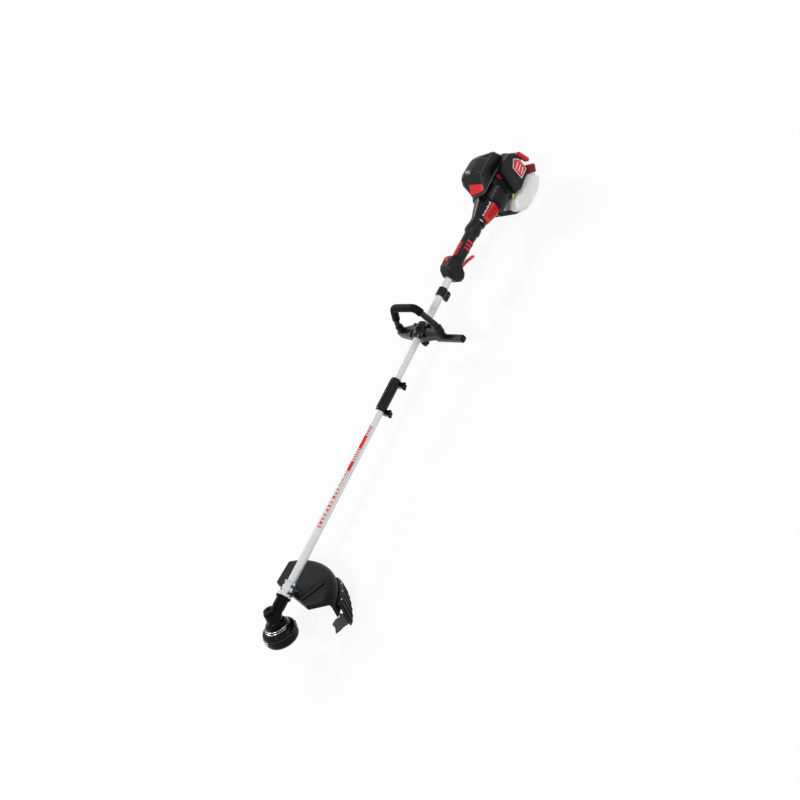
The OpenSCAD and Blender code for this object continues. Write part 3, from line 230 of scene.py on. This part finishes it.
# %% Small node helpers
def node(tree, kind, **inputs):
    n = tree.nodes.new(kind)
    for key, value in inputs.items():
        n.inputs[key.replace("_", " ")].default_value = value
    return n


def noise(tree, coordinates, scale, detail, stretch=None):
    n = node(tree, "ShaderNodeTexNoise", Scale=scale, Detail=detail)
    if stretch:
        mapping = node(tree, "ShaderNodeMapping", Scale=stretch)
        tree.links.new(coordinates, mapping.inputs["Vector"])
        coordinates = mapping.outputs["Vector"]
    tree.links.new(coordinates, n.inputs["Vector"])
    return n.outputs["Fac"]


def ranged(tree, value, low, high, start=0.3, stop=0.7):
    n = node(tree, "ShaderNodeMapRange", From_Min=start, From_Max=stop, To_Min=low, To_Max=high)
    tree.links.new(value, n.inputs["Value"])
    return n.outputs["Result"]


def mixed(tree, factor, a, b):
    n = tree.nodes.new("ShaderNodeMix")
    n.data_type = "RGBA"
    for socket, kind, value in (("Factor", "VALUE", factor), ("A", "RGBA", a), ("B", "RGBA", b)):
        slot = next(s for s in n.inputs if s.name == socket and s.type == kind)
        if hasattr(value, "is_output"):
            tree.links.new(value, slot)
        else:
            slot.default_value = value
    return next(s for s in n.outputs if s.type == "RGBA")


print("node helpers: node, noise, ranged, mixed")

# %% [markdown]
# Every finish is built by one function from a base colour, a roughness and a grain. Two layers
# of noise on Object coordinates break up the colour and the gloss, the way handling and the
# mould do: patches some centimetres across, and specks of dust of a few millimetres. A third,
# much finer noise drives the bump for the moulded or cast grain. Noise in space needs no
# unwrapping, so a small screw and a long tube get it without seams and at the same scale.

# %% A finish from noise
PATCHES, SPECKS = 14, 120
DUST = (0.42, 0.41, 0.39, 1)
GRAIN_DEPTH = 0.0004


def finish(name, colour, rough=0.5, metal=0.0, grain=700, bump=0.12, spread=0.25,
           gloss_spread=0.1, stretch=None, dust=0.06, coat=0.0, specular=0.5):
    """A material with colour and gloss that vary, and a fine grain in its surface."""
    material = bpy.data.materials.new(name)
    material.use_nodes = True
    tree = material.node_tree
    shader = tree.nodes["Principled BSDF"]
    place = tree.nodes.new("ShaderNodeTexCoord").outputs["Object"]
    wide = noise(tree, place, PATCHES, 4)
    close = noise(tree, place, SPECKS, 4)
    dark = (*[c * (1 - spread) for c in colour], 1)
    light = (*[min(1, c * (1 + spread)) for c in colour], 1)
    base = mixed(tree, ranged(tree, wide, 0, 1), dark, light)
    if dust:
        base = mixed(tree, ranged(tree, close, 0, dust, 0.52, 0.75), base, DUST)
    tree.links.new(base, shader.inputs["Base Color"])
    gloss = ranged(tree, close, rough - gloss_spread, rough + gloss_spread)
    tree.links.new(gloss, shader.inputs["Roughness"])
    shader.inputs["Metallic"].default_value = metal
    shader.inputs["Coat Weight"].default_value = coat
    shader.inputs["Specular IOR Level"].default_value = specular
    if bump:
        relief = node(tree, "ShaderNodeBump", Strength=bump, Distance=GRAIN_DEPTH)
        tree.links.new(noise(tree, place, grain, 2, stretch), relief.inputs["Height"])
        tree.links.new(relief.outputs["Normal"], shader.inputs["Normal"])
    return material


print("patches of", round(1000 / PATCHES), "mm and specks of", round(1000 / SPECKS), "mm")

# %% [markdown]
# Most of this trimmer is black, but not one black. The hood and covers are moulded with a fine
# grain, the line head is smoother and glossier, the guard is dull, the throttle housing is soft
# and the grip's foam is the dullest. Colour alone can't tell them apart, so they differ in
# roughness, in grain and in how much they reflect.

# %% Black plastics, rubber and foam
black_plastic = finish("moulded black plastic", (0.0050, 0.0053, 0.0062), 0.26, grain=900, bump=0.1,
                       dust=0.008, specular=0.2)
gloss_black = finish("gloss black plastic", (0.0022, 0.0023, 0.0028), 0.12, grain=300, bump=0.03,
                     dust=0.002, gloss_spread=0.04, coat=0.03, specular=0.1)
guard_plastic = finish("matte guard plastic", (0.0042, 0.0043, 0.0047), 0.38, grain=1100, bump=0.22,
                       dust=0.006, specular=0.08)
soft_grip = finish("soft grip rubber", (0.007, 0.007, 0.008), 0.42, grain=1500, bump=0.3, dust=0.008,
                   specular=0.18)
foam = finish("closed foam", (0.0022, 0.0022, 0.0025), 0.5, grain=1900, bump=0.6, dust=0.002,
              specular=0.06)
# The paler black of some beads stands in for the glint along moulded edges: a painted highlight.
painted_highlight_black = finish("black with painted edge highlight", (0.05, 0.05, 0.052), 0.26, grain=900, bump=0.05,
                      dust=0.02, specular=0.3)
blacks = [black_plastic, gloss_black, guard_plastic, soft_grip, foam, painted_highlight_black]
print(len(blacks), "blacks:", ", ".join(m.name for m in blacks))

# %% [markdown]
# The coloured parts are few: red inlays, levers and panels, a darker red fuel cap, the milky
# tank, its yellow hoses and the red cutting line. The tank's plastic lets light in and scatters
# it, so it gets some subsurface. The boom is painted, with a faint grain stretched along X.

# %% Coloured plastics and the boom
red_plastic = finish("red plastic", (0.68, 0.014, 0.018), 0.3, grain=900, bump=0.1, spread=0.12,
                     dust=0.01, specular=0.35)
dark_red = finish("dark red plastic", (0.30, 0.006, 0.011), 0.32, grain=900, bump=0.12, spread=0.15,
                  dust=0.01, specular=0.3)
boom_paint = finish("light grey boom", (0.70, 0.70, 0.69), 0.24, metal=0.15, grain=2400, bump=0.01,
                    spread=0.015, stretch=(0.05, 1, 1), gloss_spread=0.02, dust=0)
tank_white = finish("milky tank plastic", (0.88, 0.88, 0.86), 0.36, grain=500, bump=0.06,
                    spread=0.03, dust=0)
milk = tank_white.node_tree.nodes["Principled BSDF"]
milk.inputs["Subsurface Weight"].default_value = 0.35
milk.inputs["Subsurface Radius"].default_value = (0.02, 0.018, 0.014)
hose_yellow = finish("clear yellow hose", (0.62, 0.50, 0.17), 0.25, grain=400, bump=0.02, spread=0.1,
                     dust=0)
line_red = finish("nylon line", (0.62, 0.04, 0.02), 0.3, grain=300, bump=0.02, spread=0.08, dust=0)
filter_foam = finish("oiled filter foam", (0.10, 0.11, 0.08), 0.8, grain=1500, bump=0.9)
nylon = finish("natural nylon", (0.62, 0.59, 0.50), 0.4, bump=0.05, spread=0.05)
print("blacks and colours:", len(bpy.data.materials), "materials with the floor's")

# %% [markdown]
# Metals come in three kinds here: turned or plated steel with a fine even grain, cast zinc and
# aluminium with a coarser one, and blackened or painted metal. A cast housing that is painted
# black reflects like paint, so it isn't metallic at all.

# %% Metals
steel = finish("turned steel", (0.55, 0.55, 0.56), 0.32, metal=1, grain=1400, bump=0.1, spread=0.1,
               dust=0)
bright_steel = finish("plated steel", (0.78, 0.79, 0.81), 0.2, metal=1, grain=900, bump=0.03,
                      spread=0.05, gloss_spread=0.06, dust=0)
dark_steel = finish("blackened steel", (0.05, 0.05, 0.055), 0.34, metal=0.9, grain=900, bump=0.1,
                    dust=0.02)
zinc = finish("cast zinc", (0.60, 0.64, 0.66), 0.24, metal=1, grain=420, bump=0.2, spread=0.14,
              dust=0.02)
black_casting = finish("black cast housing", (0.0018, 0.0018, 0.0021), 0.2, grain=500, bump=0.2,
                       dust=0.001, specular=0.07)
engine_casting = finish("engine casting", (0.06, 0.063, 0.066), 0.44, metal=0.8, grain=480, bump=0.45,
                        dust=0.02)
carb_metal = finish("carburettor metal", (0.68, 0.69, 0.70), 0.34, metal=0.95, grain=600, bump=0.3)
muffler_steel = finish("muffler steel", (0.11, 0.11, 0.115), 0.5, metal=0.7, grain=600, bump=0.3,
                       spread=0.35)
print("with the metals:", len(bpy.data.materials), "materials")

# %% [markdown]
# The CAD nodes keep their shapes and only change their clothes. A table says which finish goes
# on which nodes, by the names that the CAD gives them, and whatever it doesn't name is plain
# moulded black. A wrong name stops the script, so none is missed without a word.

# %% Dressing the CAD nodes
finishes = {
    "lower_tube upper_tube": boom_paint,
    "guard guard_skirt": guard_plastic,
    "foam_grip": foam,
    "grip_inlays throttle_trigger vent_panel starter_grip": red_plastic,
    "stop_switch choke_lever primer_bulb": red_plastic,
    "fuel_cap": dark_red,
    "fuel_tank": tank_white,
    "fuel_lines": hose_yellow,
    "gear_housing gear_cap": black_casting,
    "head_housing head_cover bump_knob": gloss_black,
    "drive_flange": dark_steel,
    "output_shaft": bright_steel,
    "guard_bracket clamp_strap flywheel": zinc,
    "bracket_bolts line_cutter": dark_steel,
    "line_coil": line_red,
    "engine_block": engine_casting,
    "carburettor": carb_metal,
    "muffler": muffler_steel,
    "air_filter": filter_foam,
    "starter_pulley": nylon,
    "bevel_pinion bevel_gear lower_drive_shaft upper_drive_shaft": steel,
    "crankshaft clutch_drum knob_spring ball_bearings": steel,
    "throttle_housing_left throttle_housing_right": soft_grip,
    "handle_loop barrier_bar engine_shroud filter_cover clutch_cover starter_housing": black_plastic,
}


def dress(name, material):
    mesh = frame["nodes"][name].data
    mesh.materials.clear()
    mesh.materials.append(material)


for name in frame["nodes"]:
    dress(name, black_plastic)
for names, material in finishes.items():
    for name in names.split():
        dress(name, material)
print(len(finishes), "rows of finishes on", len(frame["nodes"]), "nodes")

# %% [markdown]
# New pieces are drawn with bmesh in millimetres, in the frame that suits them, and moved into
# place by that frame's matrix. Their objects stay at the origin, as the CAD nodes do. Edges
# sharper than 35 degrees stay crisp and the rest is shaded smooth.

# %% A new piece
CRISP = 35


def piece(name, mesh, material, body, place=None):
    """Makes a finished object of a bmesh, puts it in place and lets it ride on a body."""
    if place is not None:
        bmesh.ops.transform(mesh, matrix=place, verts=mesh.verts)
    bmesh.ops.recalc_face_normals(mesh, faces=mesh.faces)
    data = bpy.data.meshes.new(name)
    mesh.to_mesh(data)
    mesh.free()
    data.materials.append(material)
    data.shade_smooth()
    data.set_sharp_from_angle(angle=math.radians(CRISP))
    obj = bpy.data.objects.new(name, data)
    scene.collection.objects.link(obj)
    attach(obj, body)
    print(name, len(data.polygons), "faces on", body)
    return obj


# %% [markdown]
# A socket screw is a short drum with a softened top edge and a hexagonal hole. The drum is a
# circle pulled up, the hole is a hexagon bridged to the drum's top loop and pushed down. The
# screw needs no boolean, so a row of screws is made in one mesh, one after the other.

# %% Socket screws
LIP, CHAMFER, SOCKET, SOCKET_DEPTH = 0.86, 0.82, 0.29, 0.6


def corners_in(geometry):
    return [g for g in geometry if isinstance(g, bmesh.types.BMVert)]


def edges_of(verts, inside=False):
    """The edges at some vertices, or with inside only those that join two of them."""
    edges = dict.fromkeys(e for v in verts for e in v.link_edges)
    return [e for e in edges if not inside or all(v in verts for v in e.verts)]


def socket_screw(mesh, place, d, h):
    """Adds a cap screw that stands on place's origin along its +Z, all in millimetres."""
    rim = bmesh.ops.create_circle(mesh, segments=20, radius=d / 2)["verts"]
    top = corners_in(bmesh.ops.extrude_edge_only(mesh, edges=edges_of(rim))["geom"])
    bmesh.ops.translate(mesh, verts=top, vec=(0, 0, h))
    lip = corners_in(bmesh.ops.extrude_edge_only(mesh, edges=edges_of(top, inside=True))["geom"])
    bmesh.ops.scale(mesh, verts=lip, vec=(LIP, LIP, 1))
    bmesh.ops.scale(mesh, verts=top, vec=(1, 1, CHAMFER))
    hexagon = bmesh.ops.create_circle(mesh, segments=6, radius=d * SOCKET)["verts"]
    bmesh.ops.translate(mesh, verts=hexagon, vec=(0, 0, h))
    hole = edges_of(hexagon)
    bmesh.ops.bridge_loops(mesh, edges=edges_of(lip, inside=True) + hole)
    bottom = corners_in(bmesh.ops.extrude_edge_only(mesh, edges=hole)["geom"])
    bmesh.ops.translate(mesh, verts=bottom, vec=(0, 0, -h * SOCKET_DEPTH))
    bmesh.ops.contextual_create(mesh, geom=bottom)
    bmesh.ops.transform(mesh, matrix=place, verts=rim + top + lip + hexagon + bottom)


def screws(name, places, d, h, body, frame_of, material=None):
    mesh = bmesh.new()
    for place in places:
        socket_screw(mesh, place, d, h)
    piece(name, mesh, material or dark_steel, body, frame_of)


# %% [markdown]
# Where a screw stands on a flat, its place follows from the drawing. These are the screws of
# the gear case's flange and clamp, of the loop handle's cap, and of the throttle housing, whose
# flat side faces the operator's left.

# %% Screws on the boom
left_face = turned(90, "X")
screws("gear_flange_screws", [turned(a, "Z") @ moved(21, 0, -11) for a in (45, 135, 225, 315)],
       6, 3.6, "trimmer", head)
screws("gear_clamp_screw", [moved(63, 0, 0) @ turned(-125, "X") @ moved(0, 0, 28.8)],
       8.5, 4.5, "trimmer", boom)
KNOB_TO_HANDLE, POD_AHEAD = 18, 222
handle_x = (boom.inverted() @ Vector(JOINT["handle_knob_turn"]["pos_m"])).x + KNOB_TO_HANDLE
screws("handle_cap_screws", [moved(handle_x + x, y, 13.8) for x in (-18, 18) for y in (-30, 30)],
       9.5, 4.6, "loop_handle", boom)
pod_x = clutch_front - POD_AHEAD
screws("throttle_housing_screws", [moved(pod_x + x, -24.9, z) @ left_face
                                   for x, z in ((16, 10), (30, -27), (60, 22), (34, 30))],
       6.2, 1.6, "trimmer", boom)

# %% [markdown]
# On a curved cover a worked-out place is easily a millimetre off, and the screw floats or
# drowns. There a ray finds the surface instead: it starts 50 mm outside, runs towards the node,
# and gives the point where it lands and the direction in which the surface faces.

# %% Seats on a curved node
RAY_START = 0.05


def surface(node):
    data = frame["nodes"][node].data
    return BVHTree.FromPolygons([v.co for v in data.vertices], [p.vertices for p in data.polygons])


def seat(node, spot, away, frame_of):
    """The place on a node's surface under a spot, standing along the surface's normal."""
    out = (frame_of.to_3x3() @ Vector(away)).normalized()
    start = frame_of @ Vector(spot) + out * RAY_START
    hit, normal = surface(node).ray_cast(start, -out)[:2]
    back = frame_of.inverted()
    upright = (back.to_3x3() @ normal).to_track_quat("Z", "Y").to_matrix().to_4x4()
    return Matrix.Translation(back @ hit) @ upright


def seats_around(node, x, radius, angles, away=None):
    """Seats on a ring about the engine's axis, looked for radially unless away is given."""
    seats = []
    for a in angles:
        y, z = math.cos(math.radians(a)), math.sin(math.radians(a))
        seats.append(seat(node, (x, radius * y, radius * z), away or (0, y, z), engine))
    return seats


# %% [markdown]
# The engine's covers are held from several sides: the clutch cover from the front, the starter
# round its side, the muffler from the right, the hood from above. The guard's skirt has three
# bright screws along its curve.

# %% Screws on the engine and the guard
screws("clutch_cover_screws", seats_around("clutch_cover", 60, 47.5, (28, 98, 152, 208), (-1, 0, 0)),
       6.5, 3, "trimmer", engine)
screws("starter_screws", seats_around("starter_housing", 222, 30, (25, 115, 205, 295)), 7, 2.4,
       "trimmer", engine)
screws("muffler_screws", [moved(161 + x, 71.2, 63 + z) @ turned(-90, "X")
                          for x, z in ((-18, 18), (18, -16))], 7, 3.5, "trimmer", engine)
screws("filter_cover_screw", [moved(163, -83.9, 2) @ left_face], 8, 1.8, "filter_lid", engine)
screws("shroud_screws", [seat("engine_shroud", (x, -34, 100), (0, 0, 1), engine)
                         for x in (118, 205)], 8, 1.4, "trimmer", engine)
rim_centre, skirt_face = moved(-6, 37, 0), moved(232.6, 0, -24) @ turned(90, "Y")
screws("skirt_screws", [rim_centre @ turned(a, "Z") @ skirt_face for a in (-22, -31, -40)],
       7, 1.5, "trimmer", guard, bright_steel)

# %% [markdown]
# Printed marks are sheets a tenth of a millimetre thick, laid on the surface. On the boom they
# are thin bands: an edge along the boom is spun part of a turn, and given a thickness. A texture
# could draw them too, but a real edge stays sharp from near. All of them are plain shapes,
# because the trimmer carries no lettering.

# %% Bands round the boom
INK, BEND_STEP = 0.12, 7


def added(mesh, old):
    """The vertices that a mesh has gained since old, a set of them, was kept."""
    return [v for v in mesh.verts if v not in old]


def band(mesh, x0, r0, x1, r1, start, stop):
    """Adds a thin band round the X axis, from x0 to x1 and from one angle to the other."""
    old = set(mesh.verts)
    ends = [mesh.verts.new((x0, 0, -r0)), mesh.verts.new((x1, 0, -r1))]
    edge = mesh.edges.new(ends)
    bmesh.ops.spin(mesh, geom=ends + [edge], cent=(0, 0, 0), axis=(1, 0, 0),
                   angle=math.radians(stop - start), steps=max(1, round((stop - start) / BEND_STEP)))
    verts = added(mesh, old)
    bmesh.ops.rotate(mesh, verts=verts, cent=(0, 0, 0), matrix=turned(start, "X").to_3x3())
    faces = list(dict.fromkeys(f for v in verts for f in v.link_faces))
    bmesh.ops.recalc_face_normals(mesh, faces=faces)
    bmesh.ops.solidify(mesh, geom=faces, thickness=INK)


print_red = finish("printed red", (0.62, 0.012, 0.012), 0.42, bump=0, spread=0.1, dust=0.02)
print_grey = finish("printed grey", (0.10, 0.10, 0.11), 0.42, bump=0, spread=0.1, dust=0.02)
print_white = finish("printed white", (0.75, 0.75, 0.74), 0.42, bump=0, spread=0.04, dust=0)
print("printed marks are", INK, "mm thick")

# %% [markdown]
# The lower tube carries a long printed band: a fine frame, two solid bars and rows of short
# marks between them, on the side that faces up and to the operator's left. All lengths are in
# millimetres up the boom, and all angles run round it from straight down.

# %% Printed band on the lower tube
TUBE = 12.74
FRAME_FROM, FRAME_TO = 286, 628
red_print = bmesh.new()
for start in (193, 241):
    band(red_print, FRAME_FROM, TUBE, FRAME_TO, TUBE, start, start + 5)
for x0, x1 in ((474, 507), (550, 596)):
    band(red_print, x0, TUBE, x1, TUBE, 199, 240)
for x in (FRAME_FROM, FRAME_TO - 4):
    band(red_print, x, TUBE, x + 4, TUBE, 199, 240)
for i in range(9):
    x = 296 + 14 * i
    band(red_print, x, TUBE, x + 9 - 2 * (i % 3), TUBE, 203 + 6 * (i % 2), 232)
for i in range(5):
    band(red_print, 512 + 8 * i, TUBE, 516 + 8 * i, TUBE, 204, 236)
for i in range(3):
    band(red_print, 600 + 8 * i, TUBE, 605 + 8 * i, TUBE, 206, 234)
piece("tube_print_red", red_print, print_red, "trimmer", boom)
grey_print = bmesh.new()
for i in range(6):
    band(grey_print, 422 + 9 * i, TUBE, 427 + 9 * i, TUBE, 206 + 4 * (i % 2), 222)
piece("tube_print_grey", grey_print, print_grey, "trimmer", boom)

# %% [markdown]
# The clutch cover is a cone, so its white bars stand farther out the higher they are on it. The
# same band makes them, with one radius for each of its ends. One more bar is on its collar.

# %% White marks on the clutch cover
CONE_R, CONE_AT, CONE_SLOPE = 28.15, 16, 0.27
cone_print = bmesh.new()
for i in range(7):
    x = 22 + 7.5 * i
    radius = CONE_R + (x - CONE_AT) * CONE_SLOPE
    band(cone_print, x, radius, x + 5, radius + 5 * CONE_SLOPE, 237 + 3 * (i % 2), 246)
piece("cone_print", cone_print, print_white, "trimmer", engine)
collar_print = bmesh.new()
band(collar_print, 4.5, 27.0, 8.2, 26.7, 236, 262)
piece("collar_mark", collar_print, print_white, "trimmer", engine)

# %% [markdown]
# The red plates on the hood and the filter cover follow the surface below them. Their outline
# is cut into small triangles, and each corner is dropped on the surface by a ray. Then the
# sheet is pulled out to its thickness.

# %% A plate that follows a surface
LIFT = 0.15


def plate(name, corners, away, node, material, body, frame_of, thick, cuts=4):
    """Lays an outline in millimetres on a node, dropped against the direction away."""
    mesh = bmesh.new()
    mesh.faces.new([mesh.verts.new(c) for c in corners])
    bmesh.ops.transform(mesh, matrix=frame_of, verts=mesh.verts)
    bmesh.ops.triangulate(mesh, faces=mesh.faces)
    bmesh.ops.subdivide_edges(mesh, edges=mesh.edges, cuts=cuts, use_grid_fill=True)
    out = (frame_of.to_3x3() @ Vector(away)).normalized()
    tree = surface(node)
    for v in mesh.verts:
        hit = tree.ray_cast(v.co + out * RAY_START, -out)[0]
        if hit:
            v.co = hit + out * LIFT * MM
    bmesh.ops.recalc_face_normals(mesh, faces=mesh.faces)
    grown = bmesh.ops.extrude_face_region(mesh, geom=list(mesh.faces))["geom"]
    bmesh.ops.translate(mesh, verts=corners_in(grown), vec=out * thick * MM)
    piece(name, mesh, material, body)


hood_plate = [(88, 9, 95), (84, -47, 93), (77, -49, 76), (71, -36, 70), (66, 6, 68)]
plate("hood_plate", hood_plate, (-0.7, -0.2, 0.68), "engine_shroud", red_plastic, "trimmer",
      engine, thick=1.6)

# %% [markdown]
# The plate on the filter cover is made of sheets: a white one that shows as a thin border, a
# red one a tenth smaller, and three plain white bars. They all start a hair above the cover, and
# each kind is thicker than the one before it, so it stands out of it.

# %% Plate on the filter cover
RED_SHARE = 0.9
cover_left = -84
cover_plate = [(192, cover_left, 37), (217, cover_left, 53), (233, cover_left, 34),
               (233, cover_left, -13), (192, cover_left, -15)]
middle = sum((Vector(c) for c in cover_plate), Vector()) / len(cover_plate)
smaller = [middle + (Vector(c) - middle) * RED_SHARE for c in cover_plate]
plate("cover_plate_edge", cover_plate, (0, -1, 0), "filter_cover", print_white, "filter_lid",
      engine, thick=0.6)
plate("cover_plate", smaller, (0, -1, 0), "filter_cover", red_plastic, "filter_lid",
      engine, thick=1.1)
for i, z in enumerate((26, 12, -2)):
    x0, x1 = 199 + 2 * i, 224
    bar = [(x0, cover_left, z), (x1, cover_left, z + 7), (x1, cover_left, z + 3),
           (x0, cover_left, z - 4)]
    plate("cover_bar_%d" % (i + 1), bar, (0, -1, 0), "filter_cover", print_white, "filter_lid",
          engine, thick=1.35, cuts=1)

# %% [markdown]
# Rounded beads run along the hood's edges, as a moulder puts them there to stiffen the shell.
# A plane cuts the node's own mesh, the loops of the cut become a curve, and the curve gets a
# round section. So the bead always sits on the surface that it stiffens, whatever its shape.

# %% A bead along a node's surface
def bead(name, node, point, normal, keep, radius, material, body, frame_of):
    """Makes a round bead where a plane, in millimetres in frame_of, cuts a node's surface."""
    mesh = bmesh.new()
    mesh.from_mesh(frame["nodes"][node].data)
    bmesh.ops.remove_doubles(mesh, verts=mesh.verts, dist=1e-6)
    back = frame_of.inverted()
    bmesh.ops.transform(mesh, matrix=back, verts=mesh.verts)
    geometry = list(mesh.verts) + list(mesh.edges) + list(mesh.faces)
    bmesh.ops.bisect_plane(mesh, geom=geometry, plane_co=point, plane_no=normal,
                           clear_inner=True, clear_outer=True)
    bmesh.ops.delete(mesh, geom=[v for v in mesh.verts if not keep(v.co)], context="VERTS")
    bmesh.ops.transform(mesh, matrix=frame_of, verts=mesh.verts)
    data = bpy.data.meshes.new(name)
    mesh.to_mesh(data)
    mesh.free()
    obj = bpy.data.objects.new(name, data)
    scene.collection.objects.link(obj)
    for other in bpy.context.selected_objects:
        other.select_set(False)
    obj.select_set(True)
    bpy.context.view_layer.objects.active = obj
    bpy.ops.object.convert(target="CURVE")
    obj.data.bevel_depth = radius * MM
    obj.data.bevel_resolution = 3
    obj.data.use_fill_caps = True
    bpy.ops.object.convert(target="MESH")
    obj = bpy.context.view_layer.objects.active
    obj.data.materials.clear()
    obj.data.materials.append(material)
    obj.data.shade_smooth()
    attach(obj, body)
    print(name, len(obj.data.polygons), "faces on", body)


# %% [markdown]
# The hood has three beads: its lower rim, and one along each shoulder of its roof. The rim
# and the left shoulder have a paler black, a painted highlight that stands in for the glint
# along these edges. The raised pad on the guard has the same painted highlight line near both its
# long edges.

# %% Beads on the hood and the guard
bead("hood_rim", "engine_shroud", (0, 0, 67), (0, 0, 1),
     lambda c: abs(c.y) > 48.5 or c.x < 70 or c.x > 219, 2.2, painted_highlight_black, "trimmer",
     engine)
bead("hood_roof_left", "engine_shroud", (0, -42, 100), (0, 1, 0.15),
     lambda c: c.z > 72 and (c.x > 100 or c.z > 90), 1.3, painted_highlight_black, "trimmer",
     engine)
bead("hood_roof_right", "engine_shroud", (0, 27, 118), (0, 1, 0.1),
     lambda c: c.z > 108, 0.9, gloss_black, "trimmer", engine)
PAD_TOP = 22
for i, y in enumerate((-54.8, -29.2)):
    bead("guard_pad_line_%d" % (i + 1), "guard", (0, y, 0), (0, 1, 0),
         lambda c: 92 < c.x < 162 and c.z > PAD_TOP - 0.5, 0.8, painted_highlight_black, "trimmer",
         guard)

# %% [markdown]
# The line leaves the head through steel eyelets, which keep it from sawing into the plastic. An
# eyelet is a ring whose round section is spun about its hole. Two larger, bright rings are made
# in the same way, one on the rim of the drive flange and one below it, just clear of the drum.
# A bead in the same paler black, a painted highlight, runs round the drum's wall.

# %% Rings on the line head
LINE_LEVEL, EYELET_AT = -56.2, 50.6


def ring(mesh, radius, level, wire, steps):
    """Adds a closed ring of round wire about the Z axis."""
    section = bmesh.ops.create_circle(mesh, segments=10, radius=wire,
                                      matrix=moved(radius, 0, level) @ turned(90, "X"))["verts"]
    bmesh.ops.spin(mesh, geom=section + edges_of(section), cent=(0, 0, 0), axis=(0, 0, 1),
                   angle=math.tau, steps=steps, use_merge=True)


eyelets = bmesh.new()
for turn in (0, 180):
    old = set(eyelets.verts)
    ring(eyelets, 4.6, 0, 1.3, 24)
    bmesh.ops.transform(eyelets, verts=added(eyelets, old), matrix=turned(turn, "Z")
                        @ moved(EYELET_AT, 0, LINE_LEVEL) @ turned(90, "Y"))
bmesh.ops.remove_doubles(eyelets, verts=eyelets.verts, dist=0.01)
piece("line_eyelets", eyelets, bright_steel, "head", head)
rings = bmesh.new()
ring(rings, 35.4, -25.8, 0.7, 72)
ring(rings, 37.2, -31.2, 0.7, 72)
bmesh.ops.remove_doubles(rings, verts=rings.verts, dist=0.01)
piece("flange_rings", rings, bright_steel, "head", head)
bead("drum_line", "head_housing", (0, 0, -49), (0, 0, 1), lambda c: c.x ** 2 + c.y ** 2 > 44 ** 2,
     0.6, painted_highlight_black, "head", head)

# %% [markdown]
# A short end of line stands out at each eyelet. A disc is pulled out in three short steps, and
# the later ones turn it a little, so that the line isn't quite straight. It starts in the hole
# of the drum and doesn't reach the coil inside.

# %% Line ends
LINE_START, LINE_STEP, LINE_BEND = 46, 3.5, -0.8
line_ends = bmesh.new()
for turn in (0, 180):
    old = set(line_ends.verts)
    end = bmesh.ops.create_circle(line_ends, segments=10, radius=1.2, cap_ends=True,
                                  matrix=moved(LINE_START, 0, LINE_LEVEL) @ turned(90, "Y"))["verts"]
    face = end[0].link_faces[0]
    for step in range(3):
        face = bmesh.ops.extrude_discrete_faces(line_ends, faces=[face])["faces"][0]
        bmesh.ops.translate(line_ends, verts=face.verts, vec=(LINE_STEP, 0, 0))
        bmesh.ops.rotate(line_ends, verts=face.verts,
                         cent=(LINE_START + LINE_STEP * step, 0, LINE_LEVEL),
                         matrix=turned(LINE_BEND * step, "Z").to_3x3())
    bmesh.ops.rotate(line_ends, verts=added(line_ends, old), cent=(0, 0, 0),
                     matrix=turned(turn, "Z").to_3x3())
piece("line_ends", line_ends, line_red, "head", head)

# %% [markdown]
# The spring under the bump knob really gets shorter when the knob is pressed. A small circle
# of wire is spun about the axis and raised a little at every step, which draws the coil. The
# piece stands for the CAD node, which is hidden, and gets a mesh of its own.

# %% The knob's spring
COIL_R, WIRE_R, TURNS, COIL_STEPS = 14, 0.9, 3, 72
to_head = head.inverted()
levels = [(to_head @ v.co).z for v in frame["nodes"]["knob_spring"].data.vertices]
spring_low, spring_high = min(levels), max(levels)
rise = spring_high - spring_low - 2 * WIRE_R
coil = bmesh.new()
wire_end = moved(COIL_R, 0, spring_low + WIRE_R) @ turned(90, "X")
start = bmesh.ops.create_circle(coil, segments=8, radius=WIRE_R, cap_ends=True, matrix=wire_end)
bmesh.ops.spin(coil, geom=list(start["verts"][0].link_faces), cent=(0, 0, 0), axis=(0, 0, 1),
               dvec=(0, 0, rise / COIL_STEPS), angle=math.tau * TURNS, steps=COIL_STEPS)
spring = piece("spring_coil", coil, bright_steel, "head", head)
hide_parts("knob_spring")
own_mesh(spring)
